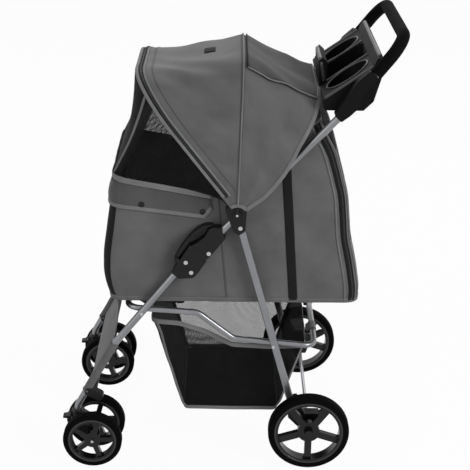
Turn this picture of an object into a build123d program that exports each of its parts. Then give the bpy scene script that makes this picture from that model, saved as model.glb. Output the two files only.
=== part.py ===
"""Folding four-wheel pet stroller. Millimetres, +Z up, front towards -X, handle towards +X."""
from build123d import *
import os
from math import atan2, cos, degrees, radians, sin

os.makedirs("parts", exist_ok=True)

# ---- driving dimensions ----
RUN_CLEAR = 0.06  # radial running clearance of a shaft in its hole
SEAT_GAP = 0.3  # gap between soft pieces, moving faces and what carries them

TUBE_D = 15.0  # front legs and handle tube
TUBE_WALL = 1.2
JOINT_W = 22.0  # fold housing, across
CABIN_W = 326.4  # between the front legs
CABIN_SIDE_GAP = 0.8
TUBE_Y = CABIN_W / 2 + CABIN_SIDE_GAP + JOINT_W / 2  # plane of legs and handle tube, each side
RAIL_Y = TUBE_Y - 15
REAR_WHEEL_Y = TUBE_Y + 35.5
CANOPY_W = 2 * (TUBE_Y + 20)
GRIP_D = 25.5  # foam grip

REAR_WHEEL_D = 175.0
REAR_WHEEL_W = 28.0
REAR_AXLE_X = 181.0
REAR_AXLE_D = 8.0

FRONT_WHEEL_D = 127.0
FRONT_WHEEL_W = 24.0
TWIN_SPACING = 79.0  # between the two wheels of one caster
CASTER_X = -319.0  # swivel axis
CASTER_TRAIL = 34.0
CASTER_AXLE_D = 6.0
STEM_D = 10.0

FOLD_X = -73.0  # fold pivot
FOLD_Z = 448.0
FOLD_DIR = 50.0  # degrees, lie of the fold joint
FOLD_PIN_D = 8.0
TONGUE_W = 8.0
TONGUE_R = 10.5
SEAM_S = 45.0  # parting line of the two housings, from the fold pivot
LATCH_W = 14.0  # hinge barrel of the lever
LEVER_W = 18.0
LATCH_PIVOT_S = 2.0
LATCH_PIVOT_T = 40.5
LATCH_BARREL_R = 4.8
LATCH_PIN_R = 2.0

LEG_TOP = (-93.0, 457.5)  # front leg, inside its housing
LEG_BEND = (-237.0, 274.0)
LEG_BENDS = (70.0, 30.0)  # radii of the leg's two bends
LEG_KNEE_Z = 125.0
LEG_END_Z = 92.0
HANDLE_START = (-19.0, 527.6)  # handle tube, inside its housing
HANDLE_BEND = (214.0, 778.0)
HANDLE_TOP = (339.0, 939.0)
HANDLE_CORNER_R = 48.0
GRIP_LENGTH_ARM = 87.0  # grip length down each arm from the corner

LEG_PIVOT = (27.0, 548.0)  # rear leg, on the bracket
REAR_LEG_END = (149.0, 117.0)
REAR_LEG_DEEP = 16.0
REAR_LEG_THICK = 10.0
LEG_PIN_D = 7.0

RAIL_D = 13.0
RAIL_PIVOT = (-177.0, 350.0)  # rail on the front leg
RAIL_FRONT = (-208.0, 354.5)
RAIL_STEP_TOP = (-60.0, 344.0)
RAIL_STEP_FOOT = (17.0, 283.0)
RAIL_REAR = (190.0, 267.0)
RAIL_LEG_PIVOT = (101.0, 274.0)  # where the rail meets the rear leg
RAIL_CORNER_R = 26.0
RAIL_PIN_D = 6.0

CABIN_BOTTOM_Z = 369.0
CABIN_WALL = 3.0
CABIN_FRONT_X = -239.0
CABIN_REAR_X = 250.0
CABIN_SILL_Z = 643.0  # lower edge of the front window
WINDOW_WALL = 2.0
FLAP_T = 1.8  # rolled-down cover below the window

CANOPY_X = 20.0  # pivot of the canopy bows
CANOPY_Z = 577.0
CANOPY_WALL = 2.5
CANOPY_CORNER_R = 118.0
CANOPY_FRONT_A = 128.0
CANOPY_FRONT_R = 344.0
CANOPY_MID_A = 88.5
CANOPY_MID_R = 306.0
CANOPY_REAR_A = 57.0
CANOPY_REAR_R = 286.0
BOW_D = 5.0
ROOF_FLAP_FROM = 14.0  # cover over the rear zip, behind the middle bow
ROOF_FLAP_L = 140.0
ROOF_FLAP_T = 2.0
BOW_FOOT = 32.0  # the round part of a bow starts this far out
BOW_LUG_R = 8.0
BOW_LUG_T = 2.0
BOW_PIN_D = 5.0

BASKET_BOTTOM_Z = 98.0
BASKET_WALL = 3.0
HEM_W = 240.0

CUP_D = 76.0
CUP_Y = 100.0
CUP_X = 236.0

CROSSBAR_D = 10.0  # bar between the front legs, above the casters
CROSSBAR_RISE = 44.0  # up the leg from its knee
CROSSBAR_BACK = 17.0  # behind the leg
CROSSBAR_REACH = 25.0
CROSSBAR_CLIP = 1.6  # wall of the clips that hold it behind the legs
TONGUE_HALF = 8.0
SCREW_HEAD_R = 4.4
SCREW_HEAD_H = 1.6
LOWER_SCREW_S = 10.0  # second screw of the lower housing
LOWER_SCREW_T = 23.0
UPPER_SCREW_S = 56.0  # screw of the upper housing
BRACKET_W = 23.0
BRACKET_OUTLINE = [(-4, 585), (4, 599), (22, 602), (40, 596), (37, 541), (24, 532), (13, 540)]
BRACKET_EDGE_R = 4.0
FOLD_MAX = 140.0  # degrees, handle folded back and down
FOLD_RATIO = 90.0 / 140.0  # rear leg and rail, per degree of fold
BRAKE_HOUSING_W = 24.0
BRAKE_PIVOT = (203.0, 109.0)
BRAKE_BARREL_R = 5.0
BRAKE_PIN_R = 2.0
BRAKE_PEDAL_W = 14.0
REAR_RIM_D = 150.0
REAR_SPOKE_W = 15.0
FRONT_RIM_D = 106.0
FRONT_SPOKE_W = 11.0
RIM_DEPTH = 9.0
CAP_R = 9.0  # caps on the rear axle
CAP_H = 3.7
SOCKET_Z = 84.0
SOCKET_H = 30.0
SOCKET_R = 14.0
STEM_H = 34.0
FORK_W = 18.0
LOCK_SETBACK = 19.0  # lock pivot in front of the swivel axis
LOCK_PIVOT = (CASTER_X - LOCK_SETBACK, 98.0)
LOCK_BARREL_R = 3.6
LOCK_PIN_R = 1.6
LOCK_W = 16.0
LOCK_REACH = 13.75

RAIL_STEP_R = 30.0
MAT_L = 440.0
MAT_H = 18.0
STRAP_Y = 120.0
CANOPY_FOOT = 30.0  # the cloth starts this far out from the bows' pivot
TRAY_BRACKET_W = 23.0
TRAY_BRACKET_OUTLINE = [(207, 789), (221, 775), (238, 788), (256, 806), (263, 832), (289, 866), (273, 879), (250, 858)]
TRAY_BRACKET_EDGE_R = 4.0
CUP_FLOOR_Z = 800.0
TRAY_POCKET_L = 82.0
TRAY_POCKET_W = 104.0
TRAY_EDGE_R = 5.0
BOW_INSET = 1.0  # bow below the cloth
BOW_SHARE = 0.9767  # the front bow stands back from the cloth's edge, where the cloth is lower
TRAY_OUTLINE = [(184, 812), (188, 792), (266, 792), (285, 811), (304, 880), (301, 898), (289, 899), (281, 879.5)]
TRAY_LIP = [(185, 808), (182, 864), (190, 871), (200, 862), (200, 815)]  # raised front of the middle pocket

# ---- worked out from them ----
TUBE_R = TUBE_D / 2
RAIL_R = RAIL_D / 2
FRONT_WHEEL_R = FRONT_WHEEL_D / 2
REAR_WHEEL_R = REAR_WHEEL_D / 2
CASTER_AXLE_X = CASTER_X + CASTER_TRAIL
EAR_BACK_X = CASTER_X - SOCKET_R - 1.5  # ears for the caster lock swing round the socket
BASKET_W = 2 * (RAIL_Y - RAIL_R - SEAT_GAP)
SIDES = (("left", -1), ("right", 1))


def direction(start, end):
    """Unit vector from start to end, both (x, z), in space."""
    run = ((end[0] - start[0]) ** 2 + (end[1] - start[1]) ** 2) ** 0.5
    return ((end[0] - start[0]) / run, 0, (end[1] - start[1]) / run)


UPPER_LEG_AXIS = direction(LEG_BEND, LEG_TOP)
LEG_AXIS = direction((CASTER_X, LEG_KNEE_Z), LEG_BEND)
LOWER_LEG_TILT = degrees(atan2(LEG_AXIS[2], LEG_AXIS[0]))
HANDLE_AXIS = direction(HANDLE_START, HANDLE_BEND)
REAR_LEG_AXIS = direction(LEG_PIVOT, REAR_LEG_END)
REAR_LEG_TILT = degrees(atan2(REAR_LEG_AXIS[2], REAR_LEG_AXIS[0]))
FOLD_REAR_TURN = FOLD_MAX * FOLD_RATIO
WINDOW_W = CABIN_W + 8
STRAP_Z = CABIN_BOTTOM_Z - SEAT_GAP
BASKET_OUTLINE = [
    (-164, 322), (-149, 287), (-136, 224), (-102, 110), (-90, BASKET_BOTTOM_Z), (114, BASKET_BOTTOM_Z), (130, 120),
    (174, 258), (174, 266), (90, 262), (15, 268), (-45, 300), (-100, 318),
]
HEM_END_X = RAIL_REAR[0] - RAIL_R - SEAT_GAP
BASKET_HEM = [(172, 260), (HEM_END_X, 262), (HEM_END_X, 271), (172, 266)]  # meets the rail's rear bar
BASKET_INSIDE = [
    (-160, 330), (-146, 288), (-133, 225), (-99, 111), (-89, BASKET_BOTTOM_Z + BASKET_WALL),
    (112, BASKET_BOTTOM_Z + BASKET_WALL), (127, 121), (171, 258), (171, 400), (-160, 400),
]
CABIN_OUTLINE = [
    (CABIN_FRONT_X, CABIN_BOTTOM_Z), (-262, 412), (-262, 450), (-246, 560), (-234, CABIN_SILL_Z), (-34, 607),
    (20, 590), (162, 760), (183, 771), (222, 700), (250, 610), (258, 515), (274, 460), (286, 390), (276, CABIN_BOTTOM_Z),
]
CABIN_INSIDE = [
    (CABIN_FRONT_X + CABIN_WALL, CABIN_BOTTOM_Z + CABIN_WALL), (-259, 413), (-259, 450), (-243, 560),
    (-231, CABIN_SILL_Z), (-231, 900), (180, 900), (180, 770), (219, 699), (247, 609), (255, 515), (271, 460),
    (283, 390), (273, CABIN_BOTTOM_Z + CABIN_WALL),
]
WINDOW_OUTLINE = [
    (-233, CABIN_SILL_Z + 1), (-226, 684), (-206, 728), (-197, 768), (-199, 815), (-197, 838), (-172, 822), (-24, 631),
    (-34, 608.5),
]
WINDOW_INSIDE = [
    (-231, CABIN_SILL_Z - 1), (-224, 684), (-204, 728), (-195, 768), (-197, 815), (-195, 834), (-150, 870), (0, 631),
    (-30, 600), (-180, 600),
]
PANEL_OUTLINE = [(-229, 366), (-227, 366), (-235, 276), (-290, 172), (-292, 173), (-237, 277)]
FLAP_OUTLINE = [(-245.3, 584), (-46, 560), (-30, 590), (-34, 606), (-236.4, 642)]
FLAP_INSIDE = [(-243.7, 578), (-234.4, 643), (0, 643), (0, 540), (-243.7, 540)]
TRAY_W = 2 * (TUBE_Y - GRIP_D / 2 - SEAT_GAP)
TRAY_EAR = [(212, 795), (240, 795), (256, 812), (262, 842), (236, 838), (216, 812)]  # where the tray meets its brackets
BOW_Y = CANOPY_W / 2 - CANOPY_WALL - SEAT_GAP - BOW_D / 2
BRAKE_INNER_Y = TUBE_Y - REAR_LEG_THICK / 2 - 3
BRAKE_Y = BRAKE_INNER_Y + BRAKE_HOUSING_W / 2
REAR_HUB_IN = REAR_WHEEL_Y - BRAKE_INNER_Y - BRAKE_HOUSING_W - SEAT_GAP
LEG_AT_BAR = (
    CASTER_X + CROSSBAR_RISE * LEG_AXIS[0],
    LEG_KNEE_Z + CROSSBAR_RISE * LEG_AXIS[2],
)
CROSSBAR = (
    LEG_AT_BAR[0] + CROSSBAR_BACK * LEG_AXIS[2],
    LEG_AT_BAR[1] - CROSSBAR_BACK * LEG_AXIS[0],
)


def save(name, part):
    """Label a finished piece and write it."""
    part.label = name
    export_step(part, f"parts/{name}.step")


def upright(y, x=0.0, z=0.0, turn=0.0):
    """Plane at Y = y whose x axis lies at turn degrees above +X and whose normal is -Y."""
    along = (cos(radians(turn)), 0, sin(radians(turn)))
    return Plane(origin=(x, y, z), x_dir=along, z_dir=(0, -1, 0))


def fold_plane(y):
    """Plane of the fold joint: x along the tubes, y towards the latch."""
    return upright(y, FOLD_X, FOLD_Z, FOLD_DIR)


def along(start, end, distance):
    """Point at a distance from start towards end, both (x, z)."""
    angle = atan2(end[1] - start[1], end[0] - start[0])
    return (start[0] + distance * cos(angle), start[1] + distance * sin(angle))


def at_side(point, y):
    """Point (x, z) in the plane of the tubes on one side."""
    return (point[0], y * TUBE_Y, point[1])


def length(start, end):
    return ((end[0] - start[0]) ** 2 + (end[1] - start[1]) ** 2) ** 0.5


GRIP_START = along(HANDLE_TOP, HANDLE_BEND, GRIP_LENGTH_ARM)
REAR_LEG_RUN = length(LEG_PIVOT, REAR_LEG_END)


def polygon(*points):
    """Filled outline in the current sketch."""
    return Polygon(*points, align=None)


# ---- front legs: tube from the fold housing down to the caster ----
for side, y in SIDES:
    with BuildPart() as front_leg:
        with BuildLine(Plane.XZ.offset(-y * TUBE_Y)) as leg_path:
            FilletPolyline(
                LEG_TOP, LEG_BEND, (CASTER_X, LEG_KNEE_Z), (CASTER_X, LEG_END_Z), radius=LEG_BENDS
            )
        with BuildSketch(Plane(leg_path.line @ 0, z_dir=leg_path.line % 0)):
            Circle(TUBE_R)
            Circle(TUBE_R - TUBE_WALL, mode=Mode.SUBTRACT)
        sweep()
        with BuildSketch(upright(y * TUBE_Y, *RAIL_PIVOT)):
            Circle(RAIL_PIN_D / 2)
        extrude(amount=TUBE_D, both=True, mode=Mode.SUBTRACT)
    save(f"front_leg_{side}", front_leg.part)

with BuildPart() as front_crossbar:
    with BuildSketch(upright(0, *CROSSBAR)):
        Circle(CROSSBAR_D / 2)
    extrude(amount=TUBE_Y, both=True)
    for side, y in SIDES:
        with BuildSketch(upright(y * TUBE_Y, *CROSSBAR)):
            SlotCenterToCenter(CROSSBAR_REACH, 2 * (TUBE_R + CROSSBAR_CLIP), rotation=LOWER_LEG_TILT - 90)
        extrude(amount=TUBE_R + CROSSBAR_CLIP, both=True)
    for side, y in SIDES:
        with BuildSketch(Plane(origin=(*LEG_AT_BAR[:1], y * TUBE_Y, LEG_AT_BAR[1]), z_dir=LEG_AXIS)):
            Circle(TUBE_R)
        extrude(amount=60, both=True, mode=Mode.SUBTRACT)
save("front_crossbar", front_crossbar.part)

# ---- fold joint: lower housing with the pivot, upper housing with the tongue, latch over both ----
for side, y in SIDES:
    with BuildPart() as housing_lower:
        with BuildSketch(fold_plane(y * TUBE_Y)):
            polygon(
                (-28, 10), (-28, 28), (-12, 33), (SEAM_S - SEAT_GAP, 41), (SEAM_S - SEAT_GAP, -4.5), (SEAM_S - 5, -7.6),
                (8, -12), (-8, -11)
            )
            Circle(12)
        extrude(amount=JOINT_W / 2, both=True)
        fillet(housing_lower.faces().filter_by(Axis.Y).edges(), 1.5)
        with BuildSketch(fold_plane(y * TUBE_Y)):
            with Locations((LATCH_PIVOT_S, LATCH_PIVOT_T - 2)):
                SlotCenterToCenter(4, 2 * LATCH_BARREL_R, rotation=90)
        extrude(amount=JOINT_W / 2, both=True)
        with BuildSketch(fold_plane(y * TUBE_Y)):
            with Locations((LATCH_PIVOT_S, LATCH_PIVOT_T)):
                Circle(LATCH_BARREL_R + 2)
        extrude(amount=LATCH_W / 2 + SEAT_GAP, both=True, mode=Mode.SUBTRACT)
        with BuildSketch(fold_plane(y * TUBE_Y)):
            with Locations((LATCH_PIVOT_S, LATCH_PIVOT_T)):
                Circle(LATCH_PIN_R + RUN_CLEAR)
        extrude(amount=JOINT_W, both=True, mode=Mode.SUBTRACT)
        with BuildSketch(fold_plane(y * TUBE_Y)):
            Circle(TONGUE_R + SEAT_GAP)
            polygon((-40, -30), (SEAM_S, -30), (SEAM_S, TONGUE_HALF + 0.6), (-40, TONGUE_HALF + 0.6))
        extrude(amount=TONGUE_W / 2 + SEAT_GAP, both=True, mode=Mode.SUBTRACT)
        with BuildSketch(fold_plane(y * TUBE_Y)):
            Circle(FOLD_PIN_D / 2)
        extrude(amount=JOINT_W, both=True, mode=Mode.SUBTRACT)
        with BuildSketch(Plane(origin=(LEG_TOP[0], y * TUBE_Y, LEG_TOP[1]), z_dir=UPPER_LEG_AXIS)):
            Circle(TUBE_R)
        extrude(amount=-60, mode=Mode.SUBTRACT)
    save(f"fold_housing_lower_{side}", housing_lower.part)

    with BuildPart() as housing_upper:
        with BuildSketch(fold_plane(y * TUBE_Y)):
            polygon((SEAM_S, -7), (SEAM_S, 38), (60, 33), (78, 30), (97, 34), (104, 32), (115, 17), (107, 4), (103, -5))
        extrude(amount=JOINT_W / 2, both=True)
        fillet(housing_upper.faces().filter_by(Axis.Y).edges(), 1.5)
        with BuildSketch(fold_plane(y * TUBE_Y)):
            Circle(TONGUE_R)
            polygon((0, -TONGUE_HALF), (SEAM_S + 5, -TONGUE_HALF + 2), (SEAM_S + 5, TONGUE_HALF), (0, TONGUE_HALF))
        extrude(amount=TONGUE_W / 2, both=True)
        with BuildSketch(fold_plane(y * TUBE_Y)):
            Circle(FOLD_PIN_D / 2 + RUN_CLEAR)
        extrude(amount=JOINT_W, both=True, mode=Mode.SUBTRACT)
        with BuildSketch(Plane(origin=(HANDLE_START[0], y * TUBE_Y, HANDLE_START[1]), z_dir=HANDLE_AXIS)):
            Circle(TUBE_R)
        extrude(amount=80, mode=Mode.SUBTRACT)
    save(f"fold_housing_upper_{side}", housing_upper.part)

    with BuildPart() as fold_latch:
        with BuildSketch(fold_plane(y * TUBE_Y)):
            with BuildLine():
                Spline((LATCH_PIVOT_S - 6, 43.5), (20, 50), (50, 53.5), (80, 51.5), (100, 43), (109, 32))
                Polyline((109, 32), (105.4, 34.5))
                Spline((105.4, 34.5), (96, 40), (78, 45), (50, 46.5), (20, 43.5), (LATCH_PIVOT_S - 4, 39))
                Polyline((LATCH_PIVOT_S - 4, 39), (LATCH_PIVOT_S - 6, 43.5))
            make_face()
        extrude(amount=LEVER_W / 2, both=True)
        with BuildSketch(fold_plane(y * TUBE_Y)):
            with Locations((LATCH_PIVOT_S, LATCH_PIVOT_T)):
                Circle(LATCH_BARREL_R + 2.5)
        extrude(amount=JOINT_W, both=True, mode=Mode.SUBTRACT)
        with BuildSketch(fold_plane(y * TUBE_Y)):
            with Locations((LATCH_PIVOT_S, LATCH_PIVOT_T)):
                Circle(LATCH_BARREL_R)
            polygon((LATCH_PIVOT_S, 38), (LATCH_PIVOT_S + 16, 44), (LATCH_PIVOT_S + 16, 49), (LATCH_PIVOT_S, 45))
        extrude(amount=LATCH_W / 2, both=True)
        with BuildSketch(fold_plane(y * TUBE_Y)):
            with Locations((LATCH_PIVOT_S, LATCH_PIVOT_T)):
                Circle(LATCH_PIN_R)
        extrude(amount=JOINT_W / 2, both=True)
    save(f"fold_latch_{side}", fold_latch.part)

with BuildPart() as front_rivets:
    for side, y in SIDES:
        with BuildSketch(fold_plane(y * TUBE_Y)):
            Circle(FOLD_PIN_D / 2)
        extrude(amount=JOINT_W / 2, both=True)
        with BuildSketch(fold_plane(y * (TUBE_Y + JOINT_W / 2))):
            Circle(SCREW_HEAD_R)
            with Locations((LOWER_SCREW_S, LOWER_SCREW_T)):
                Circle(SCREW_HEAD_R)
        extrude(amount=-y * SCREW_HEAD_H)
        with BuildSketch(upright(y * (RAIL_Y - RAIL_R), *RAIL_PIVOT)):
            Circle(RAIL_PIN_D / 2)
        extrude(amount=-y * (TUBE_Y + TUBE_R - RAIL_Y + RAIL_R))
        with BuildSketch(upright(y * (TUBE_Y + TUBE_R), *RAIL_PIVOT)):
            Circle(SCREW_HEAD_R - 1)
        extrude(amount=-y * SCREW_HEAD_H)
save("front_rivets", front_rivets.part)

# ---- handle: one tube over both sides, foam grip on its bend ----
with BuildPart() as handle_frame:
    with BuildLine() as handle_path:
        FilletPolyline(
            at_side(HANDLE_START, -1),
            at_side(HANDLE_BEND, -1),
            at_side(HANDLE_TOP, -1),
            at_side(HANDLE_TOP, 1),
            at_side(HANDLE_BEND, 1),
            at_side(HANDLE_START, 1),
            radius=(90, HANDLE_CORNER_R, HANDLE_CORNER_R, 90),
        )
    with BuildSketch(Plane(handle_path.line @ 0, z_dir=handle_path.line % 0)):
        Circle(TUBE_R)
        Circle(TUBE_R - TUBE_WALL, mode=Mode.SUBTRACT)
    sweep()
save("handle_frame", handle_frame.part)

with BuildPart() as handle_grip:
    with BuildLine() as grip_path:
        FilletPolyline(
            at_side(GRIP_START, -1),
            at_side(HANDLE_TOP, -1),
            at_side(HANDLE_TOP, 1),
            at_side(GRIP_START, 1),
            radius=HANDLE_CORNER_R,
        )
    with BuildSketch(Plane(grip_path.line @ 0, z_dir=grip_path.line % 0)):
        Circle(GRIP_D / 2)
        Circle(TUBE_R, mode=Mode.SUBTRACT)
    sweep()
save("handle_grip", handle_grip.part)

# ---- bracket on each handle tube: carries the rear leg and the canopy bows ----
for side, y in SIDES:
    with BuildPart() as pivot_bracket:
        with BuildSketch(upright(y * TUBE_Y)):
            with BuildLine():
                Polyline(*BRACKET_OUTLINE, close=True)
            make_face()
        extrude(amount=BRACKET_W / 2, both=True)
        fillet(pivot_bracket.edges().filter_by(Axis.Y), BRACKET_EDGE_R)
        with BuildSketch(Plane(origin=(HANDLE_START[0], y * TUBE_Y, HANDLE_START[1]), z_dir=HANDLE_AXIS)):
            Circle(TUBE_R)
        extrude(amount=200, mode=Mode.SUBTRACT)
        with BuildSketch(upright(y * TUBE_Y, *LEG_PIVOT, REAR_LEG_TILT)):
            with Locations((80, 0)):
                Rectangle(160, REAR_LEG_DEEP + 2)
            Circle(REAR_LEG_DEEP / 2 + 1)
            with Locations(Rotation(0, 0, FOLD_REAR_TURN)):
                with Locations((80, 0)):
                    Rectangle(160, REAR_LEG_DEEP + 2)
            with Locations(Rotation(0, 0, FOLD_REAR_TURN / 2)):
                with Locations((80, 0)):
                    Rectangle(160, 60)
        extrude(amount=REAR_LEG_THICK / 2 + SEAT_GAP, both=True, mode=Mode.SUBTRACT)
        with BuildSketch(upright(y * TUBE_Y, *LEG_PIVOT)):
            Circle(LEG_PIN_D / 2)
        extrude(amount=BRACKET_W, both=True, mode=Mode.SUBTRACT)
    save(f"pivot_bracket_{side}", pivot_bracket.part)

with BuildPart() as bracket_screws:
    for side, y in SIDES:
        with BuildSketch(upright(y * (TUBE_Y - BRACKET_W / 2), *LEG_PIVOT)):
            Circle(LEG_PIN_D / 2)
        extrude(amount=-y * BRACKET_W)
        with BuildSketch(upright(y * (TUBE_Y + BRACKET_W / 2), *LEG_PIVOT)):
            Circle(SCREW_HEAD_R)
        extrude(amount=-y * SCREW_HEAD_H)
        with BuildSketch(upright(y * (TUBE_Y + BRACKET_W / 2), CANOPY_X, CANOPY_Z)):
            Circle(BOW_PIN_D / 2)
        extrude(amount=-y * (2 * BOW_LUG_T + 3 * SEAT_GAP))
        with BuildSketch(fold_plane(y * (TUBE_Y + JOINT_W / 2))):
            with Locations((UPPER_SCREW_S, 0)):
                Circle(SCREW_HEAD_R)
        extrude(amount=-y * SCREW_HEAD_H)
save("bracket_screws", bracket_screws.part)

# ---- rear legs, axle and wheels ----
for side, y in SIDES:
    with BuildPart() as rear_leg:
        with BuildSketch(upright(y * TUBE_Y, *LEG_PIVOT, REAR_LEG_TILT)):
            with Locations((REAR_LEG_RUN / 2, 0)):
                SlotCenterToCenter(REAR_LEG_RUN, REAR_LEG_DEEP)
            Circle(LEG_PIN_D / 2 + RUN_CLEAR, mode=Mode.SUBTRACT)
        extrude(amount=REAR_LEG_THICK / 2, both=True)
        rounded = rear_leg.faces().filter_by(Axis.Y).edges().filter_by(GeomType.CIRCLE, reverse=True)
        fillet(rounded, REAR_LEG_THICK / 2 - 1)
        with BuildSketch(upright(y * TUBE_Y, *RAIL_LEG_PIVOT)):
            Circle(RAIL_PIN_D / 2)
        extrude(amount=REAR_LEG_THICK, both=True, mode=Mode.SUBTRACT)
    save(f"rear_leg_{side}", rear_leg.part)

with BuildPart() as rear_rivets:
    for side, y in SIDES:
        with BuildSketch(upright(y * (RAIL_Y + RAIL_R + 1), *RAIL_LEG_PIVOT)):
            Circle(RAIL_PIN_D / 2)
        extrude(amount=-y * (TUBE_Y + REAR_LEG_THICK / 2 - RAIL_Y - RAIL_R - 1))
        with BuildSketch(upright(y * (TUBE_Y + REAR_LEG_THICK / 2), *RAIL_LEG_PIVOT)):
            Circle(SCREW_HEAD_R - 1)
        extrude(amount=-y * SCREW_HEAD_H)
save("rear_rivets", rear_rivets.part)

with BuildPart() as rear_axle_caps:
    for side, y in SIDES:
        with BuildSketch(upright(y * (REAR_WHEEL_Y + REAR_WHEEL_W / 2 - 2 + SEAT_GAP), REAR_AXLE_X, REAR_WHEEL_R)):
            Circle(CAP_R)
        extrude(amount=-y * (CAP_H + 1))
        with BuildSketch(upright(y * (REAR_WHEEL_Y + REAR_WHEEL_W / 2 - 2), REAR_AXLE_X, REAR_WHEEL_R)):
            Circle(REAR_AXLE_D / 2)
        extrude(amount=-y * CAP_H, mode=Mode.SUBTRACT)
save("rear_axle_caps", rear_axle_caps.part)

with BuildPart() as rear_axle:
    with BuildSketch(upright(0, REAR_AXLE_X, REAR_WHEEL_R)):
        Circle(REAR_AXLE_D / 2)
    extrude(amount=REAR_WHEEL_Y + REAR_WHEEL_W / 2 - 2 + CAP_H, both=True)
save("rear_axle", rear_axle.part)

for side, y in SIDES:
    with BuildPart() as brake_housing:
        with BuildSketch(upright(y * BRAKE_INNER_Y)):
            with BuildLine():
                Polyline(
                    (137, 150), (156, 155), (172, 118), (205, 118), (205, 100), (196, 74), (170, 74), (137, 108), (137, 150)
                )
            make_face()
        extrude(amount=-y * BRAKE_HOUSING_W)
        fillet(brake_housing.edges().filter_by(Axis.Y), 4)
        with BuildSketch(upright(y * TUBE_Y, *LEG_PIVOT, REAR_LEG_TILT)):
            with Locations((REAR_LEG_RUN / 2, 0)):
                SlotCenterToCenter(REAR_LEG_RUN, REAR_LEG_DEEP)
        extrude(amount=REAR_LEG_THICK / 2, both=True, mode=Mode.SUBTRACT)
        with BuildSketch(upright(y * TUBE_Y, REAR_AXLE_X, REAR_WHEEL_R)):
            Circle(REAR_AXLE_D / 2)
        extrude(amount=60, both=True, mode=Mode.SUBTRACT)
        with BuildSketch(upright(y * BRAKE_Y, *BRAKE_PIVOT)):
            Circle(BRAKE_BARREL_R + 3.5)
        extrude(amount=BRAKE_PEDAL_W / 2 + SEAT_GAP, both=True, mode=Mode.SUBTRACT)
        with BuildSketch(upright(y * BRAKE_Y, *BRAKE_PIVOT)):
            Circle(BRAKE_PIN_R + RUN_CLEAR)
        extrude(amount=60, both=True, mode=Mode.SUBTRACT)
    save(f"brake_housing_{side}", brake_housing.part)

    with BuildPart() as brake_pedal:
        with BuildSketch(upright(y * BRAKE_Y, *BRAKE_PIVOT)):
            Circle(BRAKE_BARREL_R)
            polygon((-3, 5), (24, 20), (36, 23), (40, 18), (34, 12), (12, -1), (3, -5))
        extrude(amount=BRAKE_PEDAL_W / 2, both=True)
        with BuildSketch(upright(y * BRAKE_Y, *BRAKE_PIVOT)):
            Circle(BRAKE_PIN_R)
        extrude(amount=BRAKE_HOUSING_W / 2 - 0.5, both=True)
    save(f"brake_pedal_{side}", brake_pedal.part)


def make_rim(centre, outer_d, width, bore_d, spoke_w, hub_in):
    """Five-spoked rim whose axis is along Y; hub_in is how far its hub reaches inwards from the middle."""
    x, y, z = centre
    inward = -1 if y > 0 else 1
    with BuildPart() as rim:
        with BuildSketch(upright(y, x, z)):
            Circle(outer_d / 2)
            Circle(outer_d / 2 - RIM_DEPTH, mode=Mode.SUBTRACT)
        extrude(amount=width / 2, both=True)
        with BuildSketch(upright(y, x, z)):
            Circle(0.16 * outer_d)
            with PolarLocations(0.25 * outer_d, 5, start_angle=-90):
                Rectangle(0.44 * outer_d, spoke_w)
        extrude(amount=width / 4, both=True)
        with BuildSketch(upright(y - inward * width / 2, x, z)):
            Circle(bore_d / 2 + 6)
        extrude(amount=-inward * (width / 2 + hub_in))
        with BuildSketch(upright(y, x, z)):
            Circle(bore_d / 2 + RUN_CLEAR)
        extrude(amount=4 * width, both=True, mode=Mode.SUBTRACT)
    return rim.part


def make_tyre(centre, outer_d, rim_d, width):
    """Tyre with a rounded tread, axis along Y."""
    x, y, z = centre
    with BuildPart() as tyre:
        with BuildSketch(upright(y, x, z)):
            Circle(outer_d / 2)
            Circle(rim_d / 2, mode=Mode.SUBTRACT)
        extrude(amount=width / 2, both=True)
        fillet(tyre.edges().filter_by(GeomType.CIRCLE).group_by(SortBy.RADIUS)[-1], width / 4)
    return tyre.part


for side, y in SIDES:
    hub = (REAR_AXLE_X, y * REAR_WHEEL_Y, REAR_WHEEL_R)
    save(
        f"rear_rim_{side}",
        make_rim(hub, REAR_RIM_D, REAR_WHEEL_W - 4, REAR_AXLE_D, REAR_SPOKE_W, REAR_HUB_IN),
    )
    save(f"rear_tyre_{side}", make_tyre(hub, REAR_WHEEL_D, REAR_RIM_D, REAR_WHEEL_W))

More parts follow.
